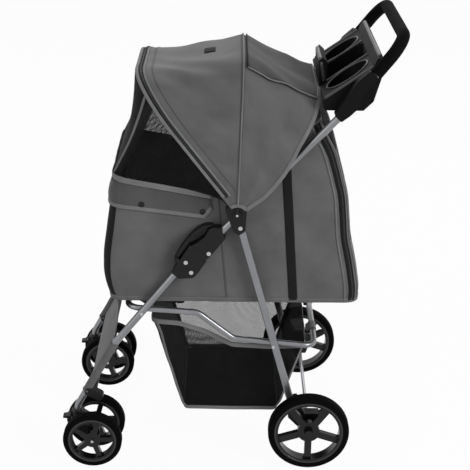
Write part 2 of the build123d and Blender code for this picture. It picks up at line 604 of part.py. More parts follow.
# ---- casters: socket on the leg, fork that swivels, two wheels each ----
for side, y in SIDES:
    with BuildPart() as caster_socket:
        with BuildSketch(Plane.XY.offset(SOCKET_Z)):
            with Locations((CASTER_X, y * TUBE_Y)):
                Circle(SOCKET_R)
        extrude(amount=SOCKET_H)
        with BuildSketch(Plane.XY.offset(LEG_END_Z)):
            with Locations((CASTER_X, y * TUBE_Y)):
                Circle(TUBE_R)
        extrude(amount=SOCKET_H, mode=Mode.SUBTRACT)
        with BuildSketch(Plane.XY.offset(SOCKET_Z)):
            with Locations((CASTER_X, y * TUBE_Y)):
                Circle(STEM_D / 2 + RUN_CLEAR)
        extrude(amount=SOCKET_H, mode=Mode.SUBTRACT)
    save(f"caster_socket_{side}", caster_socket.part)

    with BuildPart() as caster_lock:
        with BuildSketch(upright(y * TUBE_Y, *LOCK_PIVOT)):
            Circle(LOCK_BARREL_R)
            Polygon((0, LOCK_BARREL_R), (-LOCK_REACH, 1), (-LOCK_REACH, -3), (0, -LOCK_BARREL_R), align=None)
        extrude(amount=LOCK_W / 2, both=True)
        with BuildSketch(upright(y * TUBE_Y, *LOCK_PIVOT)):
            Circle(LOCK_PIN_R)
        extrude(amount=SOCKET_R - 4, both=True)
        fillet(caster_lock.faces().sort_by(Axis.X)[0].edges().filter_by(Axis.Z), 1.5)
    save(f"caster_lock_{side}", caster_lock.part)

    with BuildPart() as caster_fork:
        with BuildSketch(Plane.XY.offset(SOCKET_Z - SEAT_GAP)):
            with Locations((CASTER_X, y * TUBE_Y)):
                Circle(SOCKET_R)
        extrude(amount=-8)
        with BuildSketch(upright(y * TUBE_Y)):
            Polygon(
                (CASTER_X - 13, SOCKET_Z - 4), (CASTER_X + 13, SOCKET_Z - 4), (CASTER_AXLE_X + 11, FRONT_WHEEL_R + 4),
                (CASTER_AXLE_X + 6, FRONT_WHEEL_R - 10), (CASTER_AXLE_X - 8, FRONT_WHEEL_R - 9),
                (CASTER_X - 13, SOCKET_Z - 16), align=None,
            )
        extrude(amount=FORK_W / 2, both=True)
        with BuildSketch(upright(y * TUBE_Y)):
            Polygon(
                (CASTER_X - 11, SOCKET_Z - 16), (CASTER_X - 11, SOCKET_Z - 4), (EAR_BACK_X, SOCKET_Z - 1),
                (EAR_BACK_X, LOCK_PIVOT[1] + 4), (LOCK_PIVOT[0] - 4, LOCK_PIVOT[1] + 4),
                (LOCK_PIVOT[0] - 5, LOCK_PIVOT[1] - 8), align=None,
            )
        extrude(amount=SOCKET_R - 3, both=True)
        with BuildSketch(upright(y * TUBE_Y, *LOCK_PIVOT)):
            Circle(LOCK_BARREL_R + 2.5)
        extrude(amount=LOCK_W / 2 + SEAT_GAP, both=True, mode=Mode.SUBTRACT)
        with BuildSketch(upright(y * TUBE_Y, *LOCK_PIVOT)):
            Circle(LOCK_PIN_R + RUN_CLEAR)
        extrude(amount=SOCKET_R, both=True, mode=Mode.SUBTRACT)
        with BuildSketch(upright(y * TUBE_Y, CASTER_AXLE_X, FRONT_WHEEL_R)):
            Circle(12)
        extrude(amount=FORK_W / 2 + 2, both=True)
        with BuildSketch(Plane.XY.offset(SOCKET_Z - 4)):
            with Locations((CASTER_X, y * TUBE_Y)):
                Circle(STEM_D / 2)
        extrude(amount=STEM_H)
        with BuildSketch(upright(y * TUBE_Y, CASTER_AXLE_X, FRONT_WHEEL_R)):
            Circle(CASTER_AXLE_D / 2)
        extrude(amount=FORK_W, both=True, mode=Mode.SUBTRACT)
    save(f"caster_fork_{side}", caster_fork.part)

    with BuildPart() as caster_axle:
        with BuildSketch(upright(y * TUBE_Y, CASTER_AXLE_X, FRONT_WHEEL_R)):
            Circle(CASTER_AXLE_D / 2)
        extrude(amount=TWIN_SPACING / 2 + FRONT_WHEEL_W / 2 + 1, both=True)
    save(f"caster_axle_{side}", caster_axle.part)

    for place, out in (("inner", -1), ("outer", 1)):
        wheel_y = y * (TUBE_Y + out * TWIN_SPACING / 2)
        with BuildPart() as front_rim:
            hub_reach = TWIN_SPACING / 2 - FORK_W / 2 - 2 - SEAT_GAP
            with BuildSketch(upright(wheel_y, CASTER_AXLE_X, FRONT_WHEEL_R)):
                Circle(FRONT_RIM_D / 2)
                Circle(FRONT_RIM_D / 2 - RIM_DEPTH, mode=Mode.SUBTRACT)
            extrude(amount=FRONT_WHEEL_W / 2 - 2, both=True)
            with BuildSketch(upright(wheel_y, CASTER_AXLE_X, FRONT_WHEEL_R)):
                Circle(0.17 * FRONT_RIM_D)
                with PolarLocations(0.25 * FRONT_RIM_D, 5, start_angle=-70):
                    Rectangle(0.44 * FRONT_RIM_D, FRONT_SPOKE_W)
            extrude(amount=FRONT_WHEEL_W / 4, both=True)
            with BuildSketch(upright(wheel_y, CASTER_AXLE_X, FRONT_WHEEL_R)):
                Circle(CASTER_AXLE_D / 2 + 5)
            extrude(amount=y * out * hub_reach)
            with BuildSketch(upright(wheel_y, CASTER_AXLE_X, FRONT_WHEEL_R)):
                Circle(CASTER_AXLE_D / 2 + RUN_CLEAR)
            extrude(amount=TWIN_SPACING, both=True, mode=Mode.SUBTRACT)
        save(f"front_rim_{side}_{place}", front_rim.part)
        centre = (CASTER_AXLE_X, wheel_y, FRONT_WHEEL_R)
        save(f"front_tyre_{side}_{place}", make_tyre(centre, FRONT_WHEEL_D, FRONT_RIM_D, FRONT_WHEEL_W))

# ---- basket rail: a closed loop of tube, pinned to the front legs, with the basket hung in it ----
with BuildPart() as basket_rail:
    with BuildLine() as rail_path:
        FilletPolyline(
            (RAIL_FRONT[0], 0, RAIL_FRONT[1]),
            (RAIL_FRONT[0], -RAIL_Y, RAIL_FRONT[1]),
            (RAIL_STEP_TOP[0], -RAIL_Y, RAIL_STEP_TOP[1]),
            (RAIL_STEP_FOOT[0], -RAIL_Y, RAIL_STEP_FOOT[1]),
            (RAIL_REAR[0], -RAIL_Y, RAIL_REAR[1]),
            (RAIL_REAR[0], 0, RAIL_REAR[1]),
            radius=(RAIL_CORNER_R, RAIL_STEP_R, RAIL_STEP_R, RAIL_CORNER_R),
        )
    with BuildSketch(Plane(rail_path.line @ 0, z_dir=rail_path.line % 0)):
        Circle(RAIL_R)
    sweep()
    mirror(about=Plane.XZ)
    for side, y in SIDES:
        with BuildSketch(upright(y * RAIL_Y, *RAIL_PIVOT)):
            Circle(RAIL_PIN_D / 2 + RUN_CLEAR)
        extrude(amount=RAIL_D, both=True, mode=Mode.SUBTRACT)
save("basket_rail", basket_rail.part)


def shell(outline, inner, half_width, wall):
    """Box-like fabric shell: outline across the whole width, less its inside."""
    with BuildPart() as made:
        with BuildSketch(upright(0)):
            Polygon(*outline, align=None)
        extrude(amount=half_width, both=True)
        with BuildSketch(upright(0)):
            Polygon(*inner, align=None)
        extrude(amount=half_width - wall, both=True, mode=Mode.SUBTRACT)
    return made


basket_walls = shell(BASKET_OUTLINE, BASKET_INSIDE, BASKET_W / 2, BASKET_WALL)
with BuildPart() as basket:
    add(basket_walls.part)
    with BuildSketch(upright(0)):
        Polygon(*BASKET_HEM, align=None)
    extrude(amount=HEM_W / 2, both=True)
save("basket", basket.part)

# ---- cabin: tub of cloth on a floor board, window, flap, panels ----
cabin_tub = shell(CABIN_OUTLINE, CABIN_INSIDE, CABIN_W / 2, CABIN_WALL)
save("cabin_tub", cabin_tub.part)

with BuildPart() as floor_mat:
    with BuildSketch(Plane.XY.offset(CABIN_BOTTOM_Z + CABIN_WALL)):
        Rectangle(MAT_L, CABIN_W - 2 * CABIN_WALL - 4)
    extrude(amount=MAT_H)
    fillet(floor_mat.edges().filter_by(Axis.Z), 20)
save("floor_mat", floor_mat.part)

window_flap = shell(FLAP_OUTLINE, FLAP_INSIDE, CABIN_W / 2 + SEAT_GAP + FLAP_T, FLAP_T)
save("window_flap", window_flap.part)

front_window = shell(WINDOW_OUTLINE, WINDOW_INSIDE, WINDOW_W / 2, WINDOW_WALL)
save("front_window", front_window.part)

with BuildPart() as leg_panel:
    with BuildSketch(upright(0)):
        Polygon(*PANEL_OUTLINE, align=None)
    extrude(amount=TUBE_Y - TUBE_R - SEAT_GAP, both=True)
save("leg_panel", leg_panel.part)

with BuildPart() as under_straps:
    for side, y in SIDES:
        with BuildSketch(upright(y * STRAP_Y)):
            Polygon((-186, STRAP_Z), (-90, STRAP_Z), (-90, STRAP_Z - 2), (-186, STRAP_Z - 2), align=None)
        extrude(amount=12.5, both=True)
        with BuildSketch(upright(y * STRAP_Y)):
            with Locations((-112, STRAP_Z - 4.5)):
                RectangleRounded(48, 9, 3)
        extrude(amount=16, both=True)
save("under_straps", under_straps.part)


# ---- canopy: cloth over bows that turn about the bracket's upper screw ----
def hoop_plane(angle):
    """Plane of a bow: x across the stroller, y outwards from the bows' pivot."""
    out = (cos(radians(angle)), 0, sin(radians(angle)))
    return Plane(origin=(CANOPY_X, 0, CANOPY_Z), x_dir=(0, 1, 0), z_dir=Vector(0, 1, 0).cross(Vector(*out)))


def hoop(angle, reach, inset, foot):
    """Filled arch in the plane of a bow."""
    half = CANOPY_W / 2 - inset
    with BuildSketch(hoop_plane(angle)) as arch:
        with Locations((0, (reach - inset + foot) / 2)):
            Rectangle(2 * half, reach - inset - foot)
        fillet(arch.vertices().sort_by(Axis.Y)[-2:], CANOPY_CORNER_R - inset)
    return arch.sketch


def canopy_cloth(start_a, start_r, end_a, end_r):
    """Cloth stretched between two bows."""
    with BuildPart() as cloth:
        add(loft([hoop(start_a, start_r, 0, CANOPY_FOOT), hoop(end_a, end_r, 0, CANOPY_FOOT)], mode=Mode.PRIVATE))
        inner = [
            hoop(start_a, start_r, CANOPY_WALL, CANOPY_FOOT - 10),
            hoop(end_a, end_r, CANOPY_WALL, CANOPY_FOOT - 10),
        ]
        add(loft(inner, mode=Mode.PRIVATE), mode=Mode.SUBTRACT)
    return cloth.part


save("canopy_front", canopy_cloth(CANOPY_FRONT_A, CANOPY_FRONT_R, CANOPY_MID_A + 0.1, CANOPY_MID_R))
save("canopy_rear", canopy_cloth(CANOPY_MID_A - 0.1, CANOPY_MID_R, CANOPY_REAR_A, CANOPY_REAR_R))

mid_crown = (CANOPY_X + CANOPY_MID_R * cos(radians(CANOPY_MID_A)), CANOPY_Z + CANOPY_MID_R * sin(radians(CANOPY_MID_A)))
rear_crown = (
    CANOPY_X + CANOPY_REAR_R * cos(radians(CANOPY_REAR_A)),
    CANOPY_Z + CANOPY_REAR_R * sin(radians(CANOPY_REAR_A)),
)
flap_start = along(mid_crown, rear_crown, ROOF_FLAP_FROM)
with BuildPart() as roof_flap:
    slope = degrees(atan2(rear_crown[1] - mid_crown[1], rear_crown[0] - mid_crown[0]))
    with BuildSketch(upright(0, *flap_start, slope)):
        with Locations((ROOF_FLAP_L / 2, SEAT_GAP + ROOF_FLAP_T / 2)):
            Rectangle(ROOF_FLAP_L, ROOF_FLAP_T)
    extrude(amount=CANOPY_W / 2 - CANOPY_CORNER_R, both=True)
save("roof_flap", roof_flap.part)


def bow(angle, reach, layer):
    """Round bow inside the cloth; flat lugs turn on the pins, one layer per bow."""
    half = BOW_Y
    top = reach - CANOPY_WALL - BOW_INSET - BOW_D / 2
    plane = hoop_plane(angle)
    corners = [(-half, BOW_FOOT), (-half, top), (half, top), (half, BOW_FOOT)]
    with BuildPart() as made:
        with BuildLine() as path:
            FilletPolyline(
                *[plane.from_local_coords((x, y, 0)) for x, y in corners], radius=CANOPY_CORNER_R - CANOPY_WALL - BOW_INSET - BOW_D / 2
            )
        with BuildSketch(Plane(path.line @ 0, z_dir=path.line % 0)):
            Circle(BOW_D / 2)
        sweep()
        for side, y in SIDES:
            lug_y = TUBE_Y + BRACKET_W / 2 + SEAT_GAP + layer * (BOW_LUG_T + SEAT_GAP)
            with BuildSketch(upright(y * lug_y, CANOPY_X, CANOPY_Z, angle)):
                with Locations((BOW_FOOT / 2 + 2, 0)):
                    Rectangle(BOW_FOOT + 4, BOW_D + 2)
                Circle(BOW_LUG_R)
                Circle(BOW_PIN_D / 2 + RUN_CLEAR, mode=Mode.SUBTRACT)
            extrude(amount=-y * BOW_LUG_T)
    return made.part


save("canopy_bow_front", bow(CANOPY_FRONT_A - 2, CANOPY_FRONT_R * BOW_SHARE, 0))
save("canopy_bow_mid", bow(CANOPY_MID_A, CANOPY_MID_R, 1))

# ---- cup tray and the two brackets that hold it on the handle tube ----
for side, y in SIDES:
    with BuildPart() as tray_bracket:
        with BuildSketch(upright(y * TUBE_Y)):
            Polygon(*TRAY_BRACKET_OUTLINE, align=None)
        extrude(amount=TRAY_BRACKET_W / 2, both=True)
        fillet(tray_bracket.edges().filter_by(Axis.Y), TRAY_BRACKET_EDGE_R)
        with BuildLine(Plane.XZ.offset(-y * TUBE_Y)) as tube_line:
            FilletPolyline(HANDLE_START, HANDLE_BEND, HANDLE_TOP, radius=90)
        with BuildSketch(Plane(tube_line.line @ 0, z_dir=tube_line.line % 0)):
            Circle(TUBE_R)
        sweep(mode=Mode.SUBTRACT)
    save(f"tray_bracket_{side}", tray_bracket.part)

with BuildPart() as cup_tray:
    with BuildSketch(upright(0)):
        Polygon(*TRAY_OUTLINE, align=None)
    extrude(amount=TRAY_W / 2, both=True)
    fillet(cup_tray.edges().filter_by(Axis.Y), TRAY_EDGE_R)
    with BuildSketch(upright(0)):
        Polygon(*TRAY_LIP, align=None)
    extrude(amount=TRAY_POCKET_W / 2 + 5, both=True)
    with BuildSketch(upright(0)):
        Polygon(*TRAY_EAR, align=None)
    extrude(amount=TUBE_Y - TRAY_BRACKET_W / 2, both=True)
    with BuildSketch(Plane.XY.offset(CUP_FLOOR_Z)):
        with Locations((CUP_X, -CUP_Y), (CUP_X, CUP_Y)):
            Circle(CUP_D / 2)
    extrude(amount=200, mode=Mode.SUBTRACT)
    with BuildSketch(Plane.XY.offset(CUP_FLOOR_Z)):
        with Locations((CUP_X + 4, 0)):
            RectangleRounded(TRAY_POCKET_L, TRAY_POCKET_W, 14)
    extrude(amount=200, mode=Mode.SUBTRACT)
save("cup_tray", cup_tray.part)
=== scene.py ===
from math import atan2, copysign, cos, exp, pi, radians, sin

import bmesh
import bpy
from mathutils import Matrix, Vector, noise


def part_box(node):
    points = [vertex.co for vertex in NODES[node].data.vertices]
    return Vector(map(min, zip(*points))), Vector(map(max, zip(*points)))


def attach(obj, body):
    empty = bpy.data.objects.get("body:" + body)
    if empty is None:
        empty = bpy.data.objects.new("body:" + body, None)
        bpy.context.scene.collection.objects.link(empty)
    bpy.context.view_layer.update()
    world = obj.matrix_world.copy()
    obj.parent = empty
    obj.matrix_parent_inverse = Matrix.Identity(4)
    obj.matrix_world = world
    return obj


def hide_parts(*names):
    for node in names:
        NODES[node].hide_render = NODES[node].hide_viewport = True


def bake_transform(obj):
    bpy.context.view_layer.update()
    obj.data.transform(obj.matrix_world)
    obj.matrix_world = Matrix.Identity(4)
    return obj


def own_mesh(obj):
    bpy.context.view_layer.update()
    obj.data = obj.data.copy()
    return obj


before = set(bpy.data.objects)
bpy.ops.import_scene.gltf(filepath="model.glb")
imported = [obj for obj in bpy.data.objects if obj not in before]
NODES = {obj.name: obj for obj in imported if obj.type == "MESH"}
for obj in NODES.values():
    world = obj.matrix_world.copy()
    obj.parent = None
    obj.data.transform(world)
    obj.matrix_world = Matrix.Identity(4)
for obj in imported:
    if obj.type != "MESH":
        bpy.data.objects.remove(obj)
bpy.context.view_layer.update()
MM = 0.001
ACROSS = Vector((0, 1, 0))
DOWN = Vector((0, 0, -1))


# ---------------- materials
def colour(hex_value):
    """sRGB hex to the linear RGBA that sockets take."""
    parts = [int(hex_value[i : i + 2], 16) / 255 for i in (1, 3, 5)]
    return [c / 12.92 if c <= 0.04045 else ((c + 0.055) / 1.055) ** 2.4 for c in parts] + [1.0]


def node(tree, kind, settings=None, **inputs):
    """Adds a node. Settings are its properties. Inputs are its sockets by name, or by number as i0, i1
    and so on: a value, or a socket to link."""
    made = tree.nodes.new(kind)
    for key, value in (settings or {}).items():
        setattr(made, key, value)
    for key, value in inputs.items():
        numbered = key[0] == "i" and key[1:].isdigit()
        socket = made.inputs[int(key[1:]) if numbered else key.replace("_", " ")]
        if isinstance(value, bpy.types.NodeSocket):
            tree.links.new(value, socket)
        else:
            socket.default_value = value
    return made


def finish_material(name, build):
    """Material whose node tree build(tree) fills and whose shader it returns."""
    material = bpy.data.materials.new(name)
    material.use_nodes = True
    tree = material.node_tree
    tree.nodes.clear()
    shader = build(tree)
    node(tree, "ShaderNodeOutputMaterial", Surface=shader)
    return material


def tint(tree, factor, low, high):
    """Colour between two hex values by factor."""
    mix = node(tree, "ShaderNodeMix", {"data_type": "RGBA"}, i0=factor, i6=colour(low), i7=colour(high))
    return mix.outputs[2]


def reckon(tree, operation, *values):
    """Output of a math node."""
    inputs = {f"i{i}": value for i, value in enumerate(values)}
    return node(tree, "ShaderNodeMath", {"operation": operation}, **inputs).outputs[0]


def principled(tree, **inputs):
    """Shader with the given inputs."""
    return node(tree, "ShaderNodeBsdfPrincipled", **inputs).outputs[0]


def speckle(tree, vector, scale, **options):
    """Value of a noise texture."""
    return node(tree, "ShaderNodeTexNoise", Vector=vector, Scale=scale, **options).outputs[0]


def thread_wave(tree, vector, spacing_mm, direction):
    """0 to 1 ridges a thread apart. A Wave texture's ridges lie pi / (10 * scale) apart."""
    scale = pi / (10 * spacing_mm * MM)
    wave = node(tree, "ShaderNodeTexWave", {"bands_direction": direction}, Vector=vector, Scale=scale)
    return wave.outputs["Fac"]


def woven(name, low, high, thread_mm, rough, bump_mm, sheen=0.25, twill=False):
    """Woven cloth on the piece's own UVs, which are in metres: crossing threads, soft blotches, fine lint."""

    def build(tree):
        uv = node(tree, "ShaderNodeUVMap").outputs[0]
        warp = thread_wave(tree, uv, thread_mm, "DIAGONAL" if twill else "X")
        weft = thread_wave(tree, uv, thread_mm, "Y")
        cross = reckon(tree, "MULTIPLY", warp, weft)
        blotch = speckle(tree, uv, 14.0, Detail=3.0)
        lint = speckle(tree, uv, 420.0, Detail=2.0)
        blend = reckon(tree, "MULTIPLY_ADD", cross, 0.35, blotch)
        mixed = reckon(tree, "MULTIPLY_ADD", lint, 0.35, blend)
        shade = node(tree, "ShaderNodeMapRange", Value=mixed, i1=0.45, i2=1.15).outputs[0]
        base = tint(tree, shade, low, high)
        deep = bump_mm * MM
        relief = node(tree, "ShaderNodeBump", Height=cross, Strength=0.6, Distance=deep).outputs[0]
        return principled(
            tree, Base_Color=base, Roughness=rough, Normal=relief,
            Sheen_Weight=sheen, Sheen_Roughness=0.5, Specular_IOR_Level=0.2,
        )

    return finish_material(name, build)


def open_mesh(name, low, high, cell_mm, open_share, least):
    """Warp-knit polyester net: dark threads round small holes, which let what lies behind show. Least is how
    much of the light a hole's middle still stops, where fine threads cross it."""

    def build(tree):
        uv = node(tree, "ShaderNodeUVMap").outputs[0]
        cells = node(
            tree, "ShaderNodeTexVoronoi", {"feature": "F1"},
            Vector=uv, Scale=1 / (cell_mm * MM), Randomness=0.12,
        ).outputs["Distance"]
        hole = node(
            tree, "ShaderNodeMapRange", {"interpolation_type": "SMOOTHSTEP"},
            Value=cells, i1=open_share, i2=open_share + 0.28, i3=least, i4=1.0,
        ).outputs[0]
        blotch = speckle(tree, uv, 30.0)
        base = tint(tree, blotch, low, high)
        return principled(tree, Base_Color=base, Roughness=0.8, Specular_IOR_Level=0.1, Alpha=hole)

    return finish_material(name, build)


def moulded(name, low, high, rough, grain_mm, bump_mm, coat=0.0, metallic=0.0, shine=0.5):
    """Hard surface in one colour with a fine grain, read in the frame's own coordinates."""

    def build(tree):
        place = node(tree, "ShaderNodeTexCoord").outputs["Object"]
        grain = speckle(tree, place, 1 / (grain_mm * MM), Detail=2.0)
        blotch = speckle(tree, place, 22.0, Detail=3.0)
        deep = bump_mm * MM
        relief = node(tree, "ShaderNodeBump", Height=grain, Strength=0.5, Distance=deep).outputs[0]
        low_rough, high_rough = rough - 0.06, rough + 0.08
        scuff = node(tree, "ShaderNodeMapRange", Value=blotch, i3=low_rough, i4=high_rough).outputs[0]
        return principled(
            tree, Base_Color=tint(tree, blotch, low, high), Roughness=scuff,
            Metallic=metallic, Normal=relief, Coat_Weight=coat, Coat_Roughness=0.25, Specular_IOR_Level=shine,
        )

    return finish_material(name, build)


# solution-dyed polyester plain weave, 0.5 mm threads drawn 1.6 mm so they show: matt mid grey, faint mottling
POLYESTER = woven("grey_polyester_plain_weave", "#525253", "#6e6e6f", 1.6, 0.86, 0.25)
# the same cloth as the cover laid over the roof zip, painted darker as shade: it turns from the light and reads
# darkest
ROOF_PAINTED_SHADE = woven("grey_polyester_roof_painted_shade", "#343435", "#48484a", 1.6, 0.9, 0.25)
# the same cloth where it is lined and doubled: a little darker
POLYESTER_LINED = woven("grey_polyester_lined", "#444445", "#5b5b5c", 1.6, 0.88, 0.25)
# folded grosgrain tape, 1 mm ribs drawn 2 mm: paler and flatter than the cloth that it binds
GROSGRAIN = woven("pale_grosgrain_binding", "#646465", "#808081", 2.0, 0.8, 0.3)
# twill zip tape and black lining cloth: near black, soft sheen
BLACK_TWILL = woven("black_polyester_twill", "#0b0b0c", "#18181a", 1.8, 0.9, 0.25, sheen=0.04, twill=True)
# polypropylene webbing, 2 mm ribs: black with a dull shine
WEBBING = woven("black_webbing", "#070708", "#131314", 2.2, 0.8, 0.5, sheen=0.04)
# knitted polyester netting, 2 mm cells drawn 2.6 mm: dark, half see-through
NETTING = open_mesh("black_knitted_netting", "#0c0c0d", "#1c1c1e", 2.6, 0.22, 0.3)
# closer netting at the front, 1 mm cells drawn 2.2 mm: nearly opaque
CLOSE_NETTING = open_mesh("black_close_netting", "#0b0b0c", "#18181a", 2.2, 0.12, 0.94)
# fleece pad inside the cabin: soft, no weave to see
FLEECE = woven("grey_fleece", "#58585a", "#707072", 3.0, 0.95, 0.6, sheen=0.6)
# powder-coated steel tube: silver, satin, with a slight orange peel
SILVER_TUBE = moulded("silver_powder_coat", "#747578", "#8c8d90", 0.3, 1.6, 0.02, coat=0.2, metallic=0.85)
# injection-moulded ABS, spark-eroded grain: black, satin
ABS = moulded("black_abs_grained", "#0b0b0c", "#141415", 0.45, 0.7, 0.04, shine=0.22)
# the tray's ABS, a coarser and duller grain
TRAY_ABS = moulded("black_abs_tray", "#060607", "#0e0e0f", 0.6, 0.9, 0.06, shine=0.1)
# polypropylene rim off a polished tool: black, semi-gloss
RIM_PLASTIC = moulded(
    "black_polypropylene_gloss", "#080809", "#101011", 0.24, 2.5, 0.01, coat=0.12, shine=0.2
)
# the narrow bead where rim meets tread: glossier than the tread, and painted a lighter black as a painted
# highlight along the rim's edge
RIM_BEAD_GLOSS_AND_PAINTED_HIGHLIGHT = moulded("glossy_rim_bead_painted_highlight", "#151516", "#1e1e1f", 0.3, 2.5, 0.005, coat=0.25, shine=0.35)
# EVA foam tread: black, dry, fine pores
EVA_TREAD = moulded("eva_foam_tread", "#040405", "#0b0b0c", 0.8, 0.9, 0.09, shine=0.04)
# soft EVA foam sleeve on the handle: black, dull, open pores
EVA_GRIP = moulded("eva_foam_grip", "#070708", "#0f0f10", 0.85, 1.1, 0.14, shine=0.05)
# zinc-plated steel: screws, rivets and axles
ZINC = moulded("zinc_plated_steel", "#a9aaad", "#c2c3c6", 0.3, 0.9, 0.01, metallic=1.0)
# grey beads on the tray's rims: a painted highlight along the edges of the black tray
TRAY_RIM_PAINTED_HIGHLIGHT = moulded("dark_grey_abs", "#2e2e30", "#3a3a3c", 0.4, 0.7, 0.03)

MATERIAL_OF = (  # how a CAD piece's name starts, and what it's made of; where two lines fit, the later holds
    (("front_leg_", "rear_leg_", "handle_frame", "basket_rail"), SILVER_TUBE),
    (("front_rivets", "bracket_screws", "rear_rivets", "rear_axle", "caster_axle_"), ZINC),
    (("handle_grip",), EVA_GRIP),
    (("fold_", "pivot_", "brake_", "caster_socket", "caster_lock", "caster_fork"), ABS),
    (("front_crossbar", "canopy_bow_front", "canopy_bow_mid"), ABS),
    (("tray_bracket", "cup_tray"), TRAY_ABS),
    (("front_rim_", "rear_rim_", "rear_axle_caps"), RIM_PLASTIC),
    (("front_tyre_", "rear_tyre_"), EVA_TREAD),
)
for name, obj in NODES.items():
    for starts, material in MATERIAL_OF:
        if name.startswith(starts):
            obj.data.materials.clear()
            obj.data.materials.append(material)


# ---------------- meshes
def stand(name, data):
    """New object in the scene."""
    obj = bpy.data.objects.new(name, data)
    bpy.context.scene.collection.objects.link(obj)
    return obj


def piece(
    name, points, faces, materials, uvs=None, face_slots=None, smooth=True, thickness=0.0, outward=None
):
    """A mesh at the origin in the frame's metres. uvs is one (u, v) per point, in metres. thickness gives
    a sheet its wall, laid inwards; outward turns the sheet's faces towards that side first."""
    mesh = bpy.data.meshes.new(name)
    mesh.from_pydata([tuple(p) for p in points], [], faces)
    for material in materials if isinstance(materials, (list, tuple)) else [materials]:
        mesh.materials.append(material)
    layer = mesh.uv_layers.new(name="UVMap")
    for loop in mesh.loops:
        p = mesh.vertices[loop.vertex_index].co
        layer.data[loop.index].uv = uvs[loop.vertex_index] if uvs else (p.x + 0.37 * p.y, p.z + 0.61 * p.y)
    for i, polygon in enumerate(mesh.polygons):
        polygon.use_smooth = smooth
        if face_slots:
            polygon.material_index = face_slots[i]
    mesh.update()
    if outward is not None:
        face = mesh.polygons[len(mesh.polygons) // 2]
        if face.normal.dot(outward(face.center)) < 0:
            mesh.flip_normals()
    obj = stand(name, mesh)
    if thickness:
        wall = obj.modifiers.new("wall", "SOLIDIFY")
        wall.thickness = thickness
        wall.offset = -1
        apply_modifiers(obj)
    return obj


def apply_modifiers(obj):
    """Turns the evaluated object into its plain mesh."""
    made = bpy.data.meshes.new_from_object(obj.evaluated_get(bpy.context.evaluated_depsgraph_get()))
    old = obj.data
    obj.modifiers.clear()
    obj.data = made
    made.name = obj.name
    if not old.users:
        bpy.data.meshes.remove(old)


def grid(name, surface, columns, rows, materials, **options):
    """Sheet over surface(u, v), u and v from 0 to 1, with UVs measured along it in metres."""
    points = [[surface(i / columns, j / rows) for j in range(rows + 1)] for i in range(columns + 1)]
    across = [0.0]
    for i in range(columns):
        across.append(across[-1] + (points[i + 1][rows // 2] - points[i][rows // 2]).length)
    uvs = []
    for i in range(columns + 1):
        up = 0.0
        for j in range(rows + 1):
            if j:
                up += (points[i][j] - points[i][j - 1]).length
            uvs.append((across[i], up))
    flat = [p for column in points for p in column]
    step = rows + 1
    faces = [
        (i * step + j, (i + 1) * step + j, (i + 1) * step + j + 1, i * step + j + 1)
        for i in range(columns)
        for j in range(rows)
    ]
    return piece(name, flat, faces, materials, uvs=uvs, **options)


def spread(path, count):
    """count + 1 points evenly along a polyline."""
    lengths = [0.0]
    for a, b in zip(path, path[1:]):
        lengths.append(lengths[-1] + (b - a).length)
    out, k = [], 0
    for i in range(count + 1):
        want = lengths[-1] * i / count
        while k < len(path) - 2 and lengths[k + 1] < want:
            k += 1
        run = lengths[k + 1] - lengths[k]
        out.append(path[k].lerp(path[k + 1], (want - lengths[k]) / run if run else 0))
    return out


def rounded(corners, radius, closed=False, steps=8):
    """Polyline through corners, each turned with an arc of about that radius."""
    count = len(corners)
    out = []
    for i, p in enumerate(corners):
        if not closed and i in (0, count - 1):
            out.append(p.copy())
            continue
        a, b = corners[i - 1] - p, corners[(i + 1) % count] - p
        reach = min(radius, 0.45 * a.length, 0.45 * b.length)
        start, end = p + a.normalized() * reach, p + b.normalized() * reach
        for k in range(steps + 1):
            t = k / steps
            out.append((1 - t) ** 2 * start + 2 * t * (1 - t) * p + t * t * end)
    return out


def face_out(obj, merge=None, least_edge=None):
    """Turns a closed mesh's faces outwards, once points closer than merge are one and edges under least_edge
    are gone."""
    work = bmesh.new()
    work.from_mesh(obj.data)
    if merge:
        bmesh.ops.remove_doubles(work, verts=work.verts, dist=merge)
    if least_edge:
        bmesh.ops.dissolve_degenerate(work, edges=work.edges, dist=least_edge)
    bmesh.ops.recalc_face_normals(work, faces=work.faces)
    work.to_mesh(obj.data)
    work.free()


def heading(path, i, closed):
    """Direction of the path at its point i."""
    ahead = path[(i + 1) % len(path)] if closed or i < len(path) - 1 else path[i]
    behind = path[i - 1] if closed or i else path[i]
    return (ahead - behind).normalized()


def swept(name, rings, material, closed=False, **options):
    """Skin over rings of points, with a face at each end unless it closes on itself."""
    count, n = len(rings), len(rings[0])
    faces = []
    for i in range(count if closed else count - 1):
        j = (i + 1) % count
        for k in range(n):
            m = (k + 1) % n
            faces.append((i * n + k, i * n + m, j * n + m, j * n + k))
    if not closed:
        faces.append(tuple(range(n - 1, -1, -1)))
        faces.append(tuple((count - 1) * n + k for k in range(n)))
    obj = piece(name, [p for ring in rings for p in ring], faces, material, **options)
    face_out(obj)
    return obj


BAND = (  # section of a band with softened edges: across and up, in shares of its width and thickness
    (-0.5, 0.0), (-0.46, 0.8), (-0.3, 1.0), (0.3, 1.0), (0.46, 0.8), (0.5, 0.0), (0.3, -0.1), (-0.3, -0.1)
)


def ribbon(name, path, normals, width, thick, material, closed=False):
    """Flat band along path, on the surface whose normal is given, or one normal for each point."""
    rings, uvs = [], []
    run = 0.0
    for i, p in enumerate(path):
        tangent = heading(path, i, closed)
        normal = normals[i] if isinstance(normals, list) else normals
        across = normal.cross(tangent).normalized()
        normal = tangent.cross(across).normalized()
        if i:
            run += (p - path[i - 1]).length
        rings.append([p + across * (s * width) + normal * (h * thick) for s, h in BAND])
        uvs += [(run, s * width) for s, _ in BAND]
    return swept(name, rings, material, closed, uvs=uvs)


